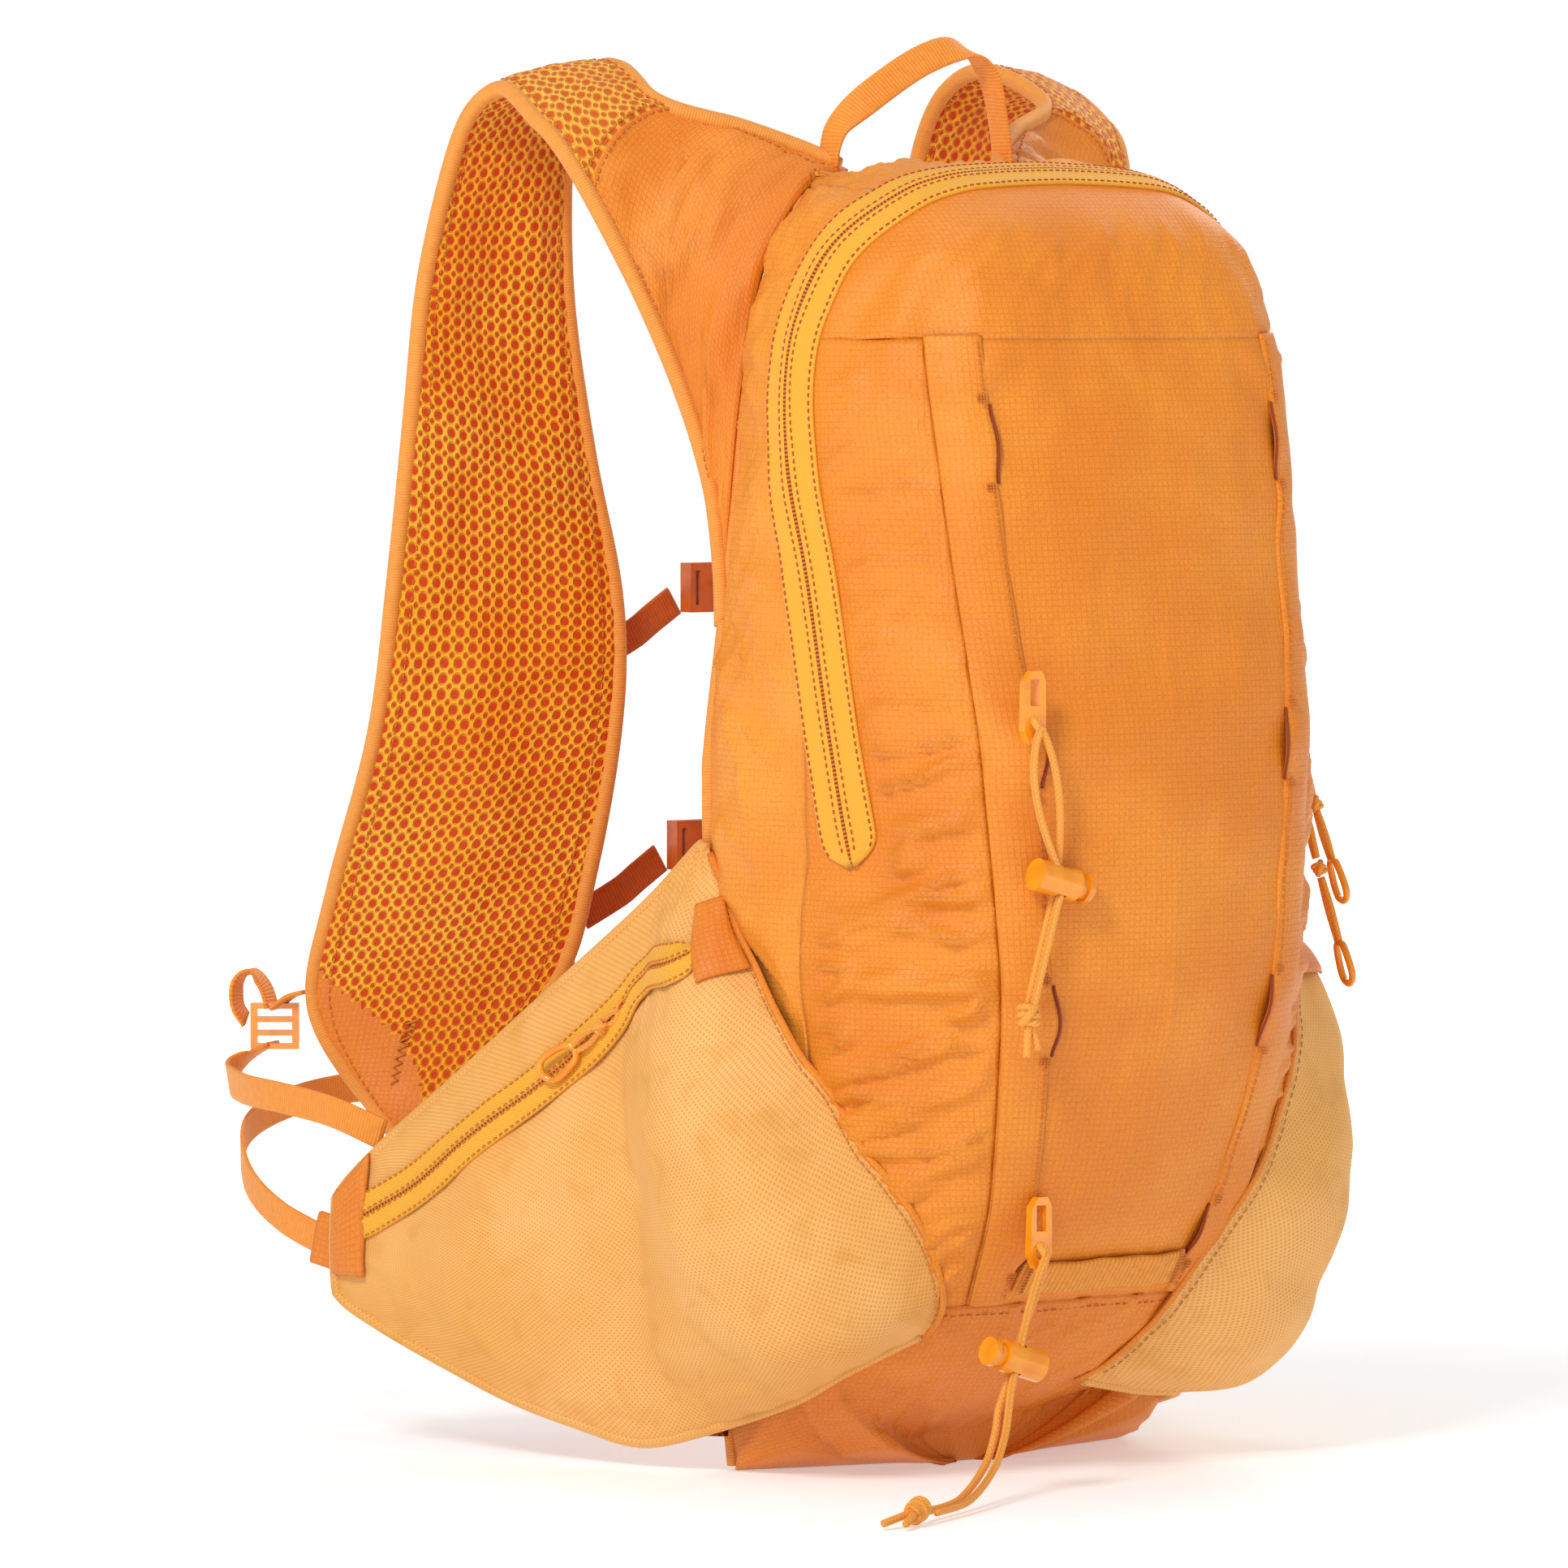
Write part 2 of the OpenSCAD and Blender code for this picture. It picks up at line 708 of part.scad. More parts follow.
// Eye on the slider's pin, link, knotted cord and an open moulded end
module pull() {
  eye_w = 3;
  link_l = 11;
  cord_l = 20;
  end_l = 13;
  translate([-eye_w / 2, -pin_out, 0])
    rotate([0, 90, 0])
      difference() {
        union() {
          cylinder(h = eye_w, r = 1.6, $fn = 36);
          translate([0, -1, 0]) cube([link_l, 1.6, eye_w]);
        }
        translate([0, 0, -1]) cylinder(h = eye_w + 2, r = pin_r + clearance, $fn = 36);
      }
  translate([0, -pin_out - 0.2, -link_l - cord_l + 1])
    cylinder(h = cord_l, r = 1.1, $fn = 24);
  translate([0, -pin_out + 0.8, -link_l - cord_l + 1])
    rotate([90, 0, 0])
      difference() {
        linear_extrude(height = 2)
          polygon([[-2, 1], [2, 1], [4, 2 - end_l], [0, -end_l], [-4, 2 - end_l]]);
        translate([0, 0, -1])
          linear_extrude(height = 4)
            polygon([[-0.8, -2.5], [0.8, -2.5], [2, 3 - end_l], [-2, 3 - end_l]]);
      }
}

// Places hardware on a surface point: out is the level outward direction and
// down is the direction the pull hangs in
module place(at, out, down) {
  yaw = atan2(out[0], -out[1]);
  along = [cos(yaw), sin(yaw), 0];
  roll = atan2(-(down * along), -down[2]);
  translate(at)
    rotate([0, roll, yaw])
      children();
}

main_zip_mid = 0.614;
main_zip_z = 228;
lower_slider_drop = 17;
main_out = let (n = outline_normal(main_zip_mid, main_zip_z)) [n[0], n[1], 0];
main_run = unit(on_bag(0.645, 270, 0) - on_bag(0.60, 208, 0));
main_at = on_bag(main_zip_mid, main_zip_z, zip_off);
module main_hardware(drop) place(main_at - main_run * drop, main_out, -main_run) children();
module upper_main_slider() color(golden) main_hardware(0) slider();
module lower_main_slider() color(golden) main_hardware(lower_slider_drop) slider();
module upper_main_pull() color(plastic) main_hardware(0) swung(-14) pull();
module lower_main_pull() color(plastic) main_hardware(lower_slider_drop) pull();
// Turns a pull about its slider's pin. The upper pull lies over the lower slider
module swung(angle)
  translate([0, -pin_out, 0])
    rotate([angle, 0, 0])
      translate([0, pin_out, 0])
        children();

hip_slider_s = 0.13;
hip_zip_off = 2.2;
hip_at = wing_point(hip_slider_s, lookup(hip_slider_s, hip_zip_k), hip_zip_off);
hip_next = wing_point(hip_slider_s + 0.15, lookup(hip_slider_s + 0.15, hip_zip_k), hip_zip_off);
hip_run = unit(hip_next - hip_at);
hip_out = [hip_run[1], -hip_run[0], 0] / norm([hip_run[0], hip_run[1]]);
module hip_hardware() place(hip_at, hip_out, hip_run) children();
module right_hip_slider() color(golden) hip_hardware() slider();
module left_hip_slider() left_of() right_hip_slider();
module right_hip_pull() color(plastic) hip_hardware() pull();
module left_hip_pull() left_of() right_hip_pull();

/* Pole keeper cords on the left strip */
plunger_d = 7;
plunger_out = 3.2;
plunger_travel = 2.8;
slot_w = 3.4;
slot_d = 5.7;
strand_gap = 1.5;

// Flat plastic hook with a hole for the cord, hanging from a slot of the strip
module cord_hook() {
  hook_t = 3;
  rotate([90, 0, 0])
    translate([0, 0, -hook_t / 2])
      difference() {
        linear_extrude(height = hook_t)
          polygon([
            [-3.5, 3], [-1, 6], [2.5, 6], [4, 3], [4, -12], [1.5, -16], [-2, -16], [-4, -12]
          ]);
        translate([0, -11, -1]) cylinder(h = hook_t + 2, r = 2.2, $fn = 36);
        translate([-1.8, -4.5, -1]) cube([3.6, 8, hook_t + 2]);
      }
}

// Barrel along X, closed at -X, with a slot for both strands and a bore for the plunger
module cord_lock() {
  floor_t = 1.2;
  difference() {
    translate([-lock_len / 2, 0, 0])
      rotate([0, 90, 0])
        cylinder(h = lock_len, r = lock_d / 2, $fn = 60);
    translate([-lock_len / 2 + floor_t, 0, 0])
      rotate([0, 90, 0])
        cylinder(h = lock_len, r = plunger_d / 2 + clearance, $fn = 60);
    translate([2 - slot_w / 2, -slot_d / 2, -lock_d])
      cube([slot_w, slot_d, 2 * lock_d]);
  }
}
module lock_plunger() {
  tail_x = -1.4;
  slot_room = slot_w + plunger_travel + 0.4;
  difference() {
    union() {
      translate([tail_x, 0, 0])
        rotate([0, 90, 0])
          cylinder(h = lock_len / 2 + plunger_out - tail_x, r = plunger_d / 2, $fn = 60);
      translate([lock_len / 2 + plunger_out, 0, 0])
        rotate([0, 90, 0])
          cylinder(h = 2, r = lock_d / 2 - 0.5, $fn = 60);
    }
    translate([2 - slot_w / 2 - 0.2, -slot_d / 2, -lock_d])
      cube([slot_room, slot_d, 2 * lock_d]);
  }
}
// Small coil behind the plunger, drawn at its pressed length
module lock_spring() {
  coils = 2;
  coil_len = 1.15;
  turn_n = 12;
  path = [
    for (i = [0:coils * turn_n])
      [coil_len * i / (coils * turn_n), 2.3 * cos(i * 360 / turn_n), 2.3 * sin(i * 360 / turn_n)]
  ];
  translate([-lock_len / 2 + 1.2 + 0.3, 0, 0])
    cord(path, 0.25);
}

upper_hook_at = [-55, -80.5, 248];
upper_lock_at = [-44.5, -80.5, 190];
upper_knot_at = [-55.5, -79.5, 150];
lower_hook_at = [-36.5, -59, 86];
lower_lock_at = [-46.5, -60.5, 43];
lower_knot_at = [-108, -95, 4.6];
upper_drop = unit(upper_knot_at - upper_lock_at);
lower_drop = unit([-7, -1, -22]);

module lock_at_cord(at, drop)
  translate(at)
    rotate([0, atan2(-drop[0], -drop[2]), 0])
      children();

// Two strands from the hook's hole through the lock to the knot
module cord_strand(hole, lock, drop, tail, tail_gap, side, spread) {
  s = [0, side * strand_gap, 0];
  points = concat(
    [
      hole + [0, side * 0.5, -1.2],
      hole + [side * spread * 0.4 + 1, side * 1.0, -9],
      (hole + lock) / 2 + [side * spread, 0, 3] + s,
      lock - drop * 14 + s,
      lock - drop * 7 + s,
      lock + s,
      lock + drop * 9 + s
    ],
    [for (p = tail) p + side * tail_gap]
  );
  cord(smooth(points, 6 * (3 + len(tail))), cord_d / 2);
}
module knotted_cord(hole, lock, drop, tail, tail_gap, spread) {
  color(webbing_orange) {
    cord_strand(hole, lock, drop, tail, tail_gap, 1, spread);
    cord_strand(hole, lock, drop, tail, tail_gap, -1, spread);
  }
}
upper_hole = upper_hook_at + [0, -4.4, -11];
lower_hole = lower_hook_at + [0, -4.4, -11];
module upper_cord()
  knotted_cord(upper_hole, upper_lock_at, upper_drop,
    [
      upper_lock_at + upper_drop * 20, upper_lock_at + upper_drop * 32,
      upper_knot_at, upper_knot_at + [0.5, 0, -9]
    ],
    [0, strand_gap, 0], 4.2);
module lower_cord()
  knotted_cord(lower_hole, lower_lock_at, lower_drop,
    [
      lower_lock_at + lower_drop * 16, lower_lock_at + lower_drop * 24 + [0, -1, 0], [-62, -68, 11],
      [-80, -80, 4], lower_knot_at + [12, 5, -2], lower_knot_at + [-8, -4, -2]
    ],
    [-0.7, 1.7, 0], 1.6);
module upper_cord_hook() color(plastic) translate(upper_hook_at) cord_hook();
module lower_cord_hook() color(plastic) translate(lower_hook_at) cord_hook();
// The strands' slot is 2 mm off the barrel's middle. The lower lock faces the other way
module upper_lock_frame()
  lock_at_cord(upper_lock_at, upper_drop)
    translate([-2, 0, 0])
      children();
module lower_lock_frame()
  lock_at_cord(lower_lock_at, lower_drop)
    rotate([0, 0, 180])
      translate([-2, 0, 0])
        children();
module upper_cord_lock() color(plastic) upper_lock_frame() cord_lock();
module lower_cord_lock() color(plastic) lower_lock_frame() cord_lock();
module upper_lock_plunger() color(plastic) upper_lock_frame() lock_plunger();
module lower_lock_plunger() color(plastic) lower_lock_frame() lock_plunger();
module upper_lock_spring() color(steel) upper_lock_frame() lock_spring();
module lower_lock_spring() color(steel) lower_lock_frame() lock_spring();

// The middle of the flat base patch, as the modules above place it
base_y = 32;
// Moves a sub-part so that the origin is at that point
module placed() translate([0, -base_y, 0]) children();

placed() front_panel();
placed() top_panel();
placed() left_outer_panel();
placed() right_outer_panel();
placed() left_side_panel();
placed() right_side_panel();
placed() base_panel();
placed() back_panel();
placed() back_foam();
placed() hydration_sleeve();
placed() yoke();
placed() main_zip_tape();
placed() left_daisy_strip();
placed() right_daisy_strip();
placed() bottom_band();
placed() left_pocket_panel();
placed() right_pocket_panel();
placed() haul_loop();
placed() left_strap();
placed() right_strap();
placed() left_strap_pocket();
placed() right_strap_pocket();
placed() left_adjuster_webbing();
placed() right_adjuster_webbing();
placed() left_ladder_lock();
placed() right_ladder_lock();
placed() left_wing();
placed() right_wing();
placed() left_hip_zip_tape();
placed() right_hip_zip_tape();
placed() left_belt_webbing();
placed() right_belt_webbing();
placed() belt_buckle_male();
placed() belt_buckle_female();
placed() left_hip_slider();
placed() right_hip_slider();
placed() left_hip_pull();
placed() right_hip_pull();
placed() upper_main_slider();
placed() lower_main_slider();
placed() upper_main_pull();
placed() lower_main_pull();
placed() upper_cord_hook();
placed() lower_cord_hook();
placed() upper_cord();
placed() lower_cord();
placed() upper_cord_lock();
placed() lower_cord_lock();
placed() upper_lock_plunger();
placed() lower_lock_plunger();
placed() upper_lock_spring();
placed() lower_lock_spring();
placed() upper_sternum_left();
placed() upper_sternum_right();
placed() upper_buckle_male();
placed() upper_buckle_female();
placed() lower_sternum_left();
placed() lower_sternum_right();
placed() lower_buckle_male();
placed() lower_buckle_female();
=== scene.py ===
import bpy
import math
import numpy as np
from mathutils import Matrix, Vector, noise


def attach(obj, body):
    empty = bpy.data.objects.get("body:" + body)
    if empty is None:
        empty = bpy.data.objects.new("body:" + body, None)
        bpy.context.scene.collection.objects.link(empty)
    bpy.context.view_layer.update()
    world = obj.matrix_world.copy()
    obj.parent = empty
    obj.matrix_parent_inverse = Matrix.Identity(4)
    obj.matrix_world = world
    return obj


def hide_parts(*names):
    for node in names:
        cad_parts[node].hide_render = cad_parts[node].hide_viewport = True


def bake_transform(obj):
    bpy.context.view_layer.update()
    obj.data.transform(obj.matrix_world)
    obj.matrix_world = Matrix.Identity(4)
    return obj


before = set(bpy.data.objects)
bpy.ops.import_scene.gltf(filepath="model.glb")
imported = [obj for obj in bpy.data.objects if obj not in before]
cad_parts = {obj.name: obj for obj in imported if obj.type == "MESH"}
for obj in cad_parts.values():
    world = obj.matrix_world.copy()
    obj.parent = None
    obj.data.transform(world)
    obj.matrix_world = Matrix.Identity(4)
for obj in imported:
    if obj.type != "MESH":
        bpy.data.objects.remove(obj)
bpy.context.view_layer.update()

# All shapes are worked out in millimetres, with the middle of the base patch at BASE, and stored in
# metres with that point at the origin.
MM = 0.001
BASE = np.array([0.0, 32.0, 0.0])
SIDES = (("left", -1), ("right", 1))
CLOTH_STEPS = 20  # frames of each cloth simulation

# ------------------------------------------------------------------ maths


def spline(points, t):
    """Catmull-Rom curve through points at t, where each whole number is a point."""
    p = np.asarray(points, float)
    t = np.asarray(t, float)
    i = np.clip(np.floor(t).astype(int), 0, len(p) - 2)
    f = (t - i)[..., None]
    a, b, c, d = (p[np.clip(i + k, 0, len(p) - 1)] for k in (-1, 0, 1, 2))
    return 0.5 * (2 * b + (c - a) * f + (2 * a - 5 * b + 4 * c - d) * f**2
                  + (3 * b - a - 3 * c + d) * f**3)


def smooth(points, n):
    """The curve through points, cut into n equal steps of t."""
    return spline(points, np.linspace(0, len(points) - 1, n + 1))


def run_length(path):
    """Distance along a path to each of its points."""
    return np.r_[0, np.cumsum(np.linalg.norm(np.diff(path, axis=0), axis=1))]


def even(points, step):
    """The same curve with points about step apart."""
    p = smooth(points, len(points) * 12)
    s = run_length(p)
    n = max(2, int(round(s[-1] / step)))
    q = np.linspace(0, s[-1], n + 1)
    return np.stack([np.interp(q, s, p[:, k]) for k in range(p.shape[1])], 1)


def unit(v):
    v = np.asarray(v, float)
    return v / np.maximum(np.linalg.norm(v, axis=-1, keepdims=True), 1e-9)


def column(x):
    """A number as it is, and an array with one more axis, so that it multiplies points."""
    x = np.asarray(x, float)
    return x[..., None] if x.ndim else x


def heading(path):
    return unit(np.gradient(path, axis=0))


def grid_normals(p):
    """Normals of a grid of points, towards the side from which its faces run anticlockwise."""
    return unit(np.cross(np.gradient(p, axis=1), np.gradient(p, axis=0)))


def lookup(x, rows):
    """Straight-line interpolation in rows of (x, value)."""
    return np.interp(x, *np.transpose(rows))


def fade(x, a, b):
    """Smooth step from 0 at a to 1 at b."""
    t = np.clip((np.asarray(x, float) - a) / (b - a), 0, 1)
    return t * t * (3 - 2 * t)


def bump(x, centre, half):
    """1 at the centre, falling to 0 at half away from it."""
    return np.clip(1 - ((np.asarray(x, float) - centre) / half) ** 2, 0, 1) ** 2


def blur(a, rows, axis=0):
    """Gaussian smoothing along one axis, keeping the ends."""
    r = int(rows * 3) + 1
    k = np.exp(-0.5 * (np.arange(-r, r + 1) / rows) ** 2)
    k /= k.sum()
    a = np.moveaxis(a, axis, 0)
    first, last = 2 * a[0] - a[r:0:-1], 2 * a[-1] - a[-2:-r - 2:-1]
    padded = np.concatenate([first, a, last])
    out = sum(k[j] * padded[j:j + len(a)] for j in range(2 * r + 1))
    return np.moveaxis(out, 0, axis)


def fbm(x, y, seed, octaves=3):
    """Smooth noise on arrays, about -1 to 1."""
    xs, ys = np.broadcast_arrays(x, y)
    flat = np.zeros(xs.size)
    for i, (px, py) in enumerate(zip(xs.ravel(), ys.ravel())):
        p, a = Vector((px + seed * 7.31, py - seed * 3.17, seed * 1.7)), 1.0
        for _ in range(octaves):
            flat[i] += a * noise.noise(p)
            p, a = p * 2.03, a * 0.5
    return flat.reshape(xs.shape)


class Table:
    """Smooth lookup of a surface known on a regular grid."""

    def __init__(self, a, b, values):
        self.a, self.b, self.v = a, b, values

    def __call__(self, a, b):
        a, b = np.broadcast_arrays(np.asarray(a, float), np.asarray(b, float))
        ia = (a - self.a[0]) / (self.a[1] - self.a[0])
        ib = (b - self.b[0]) / (self.b[1] - self.b[0])
        ia = np.clip(ia, 0, len(self.a) - 1.001)
        ib = np.clip(ib, 0, len(self.b) - 1.001)
        i, j = ia.astype(int), ib.astype(int)
        f, g = (ia - i)[..., None], (ib - j)[..., None]
        out = 0
        for k, wk in enumerate(self.weights(f)):
            row = np.clip(i + k - 1, 0, len(self.a) - 1)
            for m, wm in enumerate(self.weights(g)):
                out = out + wk * wm * self.v[row, np.clip(j + m - 1, 0, len(self.b) - 1)]
        return out

    @staticmethod
    def weights(f):
        """Catmull-Rom weights of the four points round a place."""
        return (0.5 * (-f + 2 * f**2 - f**3), 0.5 * (2 - 5 * f**2 + 3 * f**3),
                0.5 * (f + 4 * f**2 - 3 * f**3), 0.5 * (-f**2 + f**3))


# ------------------------------------------------------------------ meshes


def mesh_object(name, verts, faces, mats, uv=None, index=None):
    """A smooth shaded object. index is each face's place in the list of materials."""
    me = bpy.data.meshes.new(name)
    me.from_pydata(((np.asarray(verts) - BASE) * MM).tolist(), [], faces)
    me.polygons.foreach_set("use_smooth", [True] * len(me.polygons))
    for m in mats if isinstance(mats, (list, tuple)) else [mats]:
        me.materials.append(m)
    if index is not None:
        me.polygons.foreach_set("material_index", list(index))
    if uv is not None:
        layer = me.uv_layers.new(name="cloth")
        loops = np.zeros(len(me.loops), np.int32)
        me.loops.foreach_get("vertex_index", loops)
        layer.data.foreach_set("uv", np.asarray(uv, np.float32)[loops].ravel())
    me.update()
    ob = bpy.data.objects.new(name, me)
    bpy.context.scene.collection.objects.link(ob)
    return ob


def quads(rows, cols, base=0, flip=False, wrap=False):
    """Faces of a grid of points numbered row by row from base."""
    i, j = np.meshgrid(np.arange(rows - 1), np.arange(cols if wrap else cols - 1), indexing="ij")
    a = base + i * cols + j
    b = base + i * cols + (j + 1) % cols
    f = np.stack([a, b, b + cols, a + cols], -1).reshape(-1, 4)
    return (f[:, ::-1] if flip else f).tolist()


def arc_uv(p):
    """Distance along the rows and columns of a grid of points, in millimetres."""
    du = np.linalg.norm(np.diff(p, axis=1), axis=2)
    dv = np.linalg.norm(np.diff(p, axis=0), axis=2)
    u = np.concatenate([np.zeros((len(p), 1)), np.cumsum(du, 1)], 1)
    v = np.concatenate([np.zeros((1, p.shape[1])), np.cumsum(dv, 0)], 0)
    u = u - u[:, [p.shape[1] // 2]]
    v = np.broadcast_to(v.mean(1, keepdims=True), v.shape)
    return np.stack([u, v], -1)


def sheet(name, p, t, mats, uv=None, normals=None, index=None):
    """A closed thin cloth: outer face p, inner face t further in, and its four edges."""
    rows, cols = p.shape[:2]
    n = grid_normals(p) if normals is None else normals
    t = np.broadcast_to(np.asarray(t, float), (rows, cols))[..., None]
    uv = arc_uv(p) if uv is None else uv
    verts = np.concatenate([p.reshape(-1, 3), (p - n * t).reshape(-1, 3)])
    m = rows * cols
    faces = quads(rows, cols) + quads(rows, cols, m, flip=True)
    ring = ([(0, j) for j in range(cols)] + [(i, cols - 1) for i in range(1, rows)]
            + [(rows - 1, j) for j in range(cols - 2, -1, -1)]
            + [(i, 0) for i in range(rows - 2, 0, -1)])
    ids = [i * cols + j for i, j in ring]
    for a, b in zip(ids, ids[1:] + ids[:1]):
        faces.append([b, a, a + m, b + m])
    uvs = np.concatenate([uv.reshape(-1, 2)] * 2)
    full = None
    if index is not None:
        outer = np.asarray(index).ravel().tolist()
        full = outer + outer + [0] * len(ids)
    return mesh_object(name, verts, faces, mats, uvs, full)


def frames(path):
    """Directions across and out of a path, turned as little as possible."""
    h = heading(path)
    a = np.zeros_like(path)
    start = np.array([0.31, 0.22, 0.93])
    a[0] = unit(np.cross(start, h[0]))
    for i in range(1, len(path)):
        v = a[i - 1] - h[i] * (a[i - 1] @ h[i])
        a[i] = unit(v)
    return a, np.cross(h, a)


def tube(path, r, sides=10, flat=1.0):
    """Vertices, faces and UVs of a round or flattened tube along a path."""
    path = np.asarray(path, float)
    n = len(path)
    a, b = frames(path)
    angle = np.arange(sides) * 2 * math.pi / sides
    ring = np.cos(angle)[None, :, None] * a[:, None] + flat * np.sin(angle)[None, :, None] * b[:, None]
    v = path[:, None] + r * ring
    uv = np.stack(np.broadcast_arrays(angle * r, run_length(path)[:, None]), -1)
    f = quads(n, sides, wrap=True)
    f += [list(range(sides - 1, -1, -1)), [(n - 1) * sides + k for k in range(sides)]]
    return v.reshape(-1, 3), f, uv.reshape(-1, 2)


def parts_object(name, parts, mat):
    """One object from the vertices, faces and UVs of several parts."""
    vs, fs, uvs, base = [], [], [], 0
    for v, f, uv in parts:
        vs.append(v)
        fs += [[i + base for i in q] for q in f]
        uvs.append(uv)
        base += len(v)
    return mesh_object(name, np.concatenate(vs), fs, mat, np.concatenate(uvs))


def tube_object(name, path, r, mat, **kw):
    return parts_object(name, [tube(path, r, **kw)], mat)


def ribbon(path, across, w, t, wave=0.0):
    """Webbing along a path, with rounded edges. across is its width direction at each point."""
    path = np.asarray(path, float)
    n = len(path)
    h = heading(path)
    across = np.broadcast_to(np.asarray(across, float), path.shape)
    c = unit(across - h * np.sum(across * h, 1, keepdims=True))
    k = np.cross(h, c)
    s = run_length(path)
    if wave:
        path = path + k * (wave * np.sin(s / 9 + 1))[:, None]
    x = np.r_[-0.5, -0.47, -0.40, -0.2, 0, 0.2, 0.40, 0.47, 0.5]
    edge = np.r_[0.25, 0.42, 0.5, 0.5, 0.5, 0.5, 0.5, 0.42, 0.25]
    prof = np.concatenate([np.stack([x * w, edge * t], 1), np.stack([x[::-1] * w, -edge[::-1] * t], 1)])
    m = len(prof)
    v = (path[:, None] + prof[None, :, 0, None] * c[:, None] + prof[None, :, 1, None] * k[:, None])
    uv = np.stack([np.broadcast_to(prof[:, 0], (n, m)), np.broadcast_to(s[:, None], (n, m))], -1)
    f = quads(n, m, wrap=True)
    f += [list(range(m - 1, -1, -1)), [(n - 1) * m + q for q in range(m)]]
    return v.reshape(-1, 3), f, uv.reshape(-1, 2)


def ribbon_object(name, path, across, w, t, mat, **kw):
    return parts_object(name, [ribbon(path, across, w, t, **kw)], mat)


# One stitch: a low block with sloping ends, as (along, across, up)
DASH = np.array([[-1, -0.6, 0], [-1, 0.6, 0], [-0.6, -1, 1], [-0.6, 1, 1],
                 [0.6, -1, 1], [0.6, 1, 1], [1, -0.6, 0], [1, 0.6, 0]])
DASH_F = [[0, 2, 3, 1], [2, 4, 5, 3], [4, 6, 7, 5], [0, 6, 4, 2], [1, 3, 5, 7], [0, 1, 7, 6]]


def stitches(path, normal, pitch=2.6, length=1.9, width=0.55, height=0.35):
    """Small raised thread dashes along a path that lies on cloth, or None if the path is too short."""
    s = run_length(path)
    q = np.arange(pitch / 2, s[-1], pitch)

    def along(values):
        return np.stack([np.interp(q, s, values[:, k]) for k in range(3)], 1)

    at, nn, hh = along(path), unit(along(normal)), unit(along(heading(path)))
    side = unit(np.cross(nn, hh))
    vs, fs = [], []
    for i in range(len(q)):
        v = (at[i] + DASH[:, :1] * hh[i] * length / 2 + DASH[:, 1:2] * side[i] * width / 2
             + (DASH[:, 2:] - 0.35) * nn[i] * height)
        vs.append(v)
        fs += [[k + 8 * i for k in f] for f in DASH_F]
    if not vs:
        return None
    v = np.concatenate(vs)
    return v, fs, np.zeros((len(v), 2))


def stitch_object(name, rows, mat):
    """One object from rows of stitches."""
    return parts_object(name, [row for row in rows if row is not None], mat)


# ------------------------------------------------------------------ materials
SHEEN_TINT = (1.0, 0.75, 0.45, 1.0)
RIPSTOP_GRID, RIPSTOP_THREAD = 1.9, 0.35
STRETCH_U, STRETCH_V = 2.0, 1.6
SHADE_PATCH_TONE = (214, 150, 62)  # duller olive patches of the see-through mesh, as painted shade
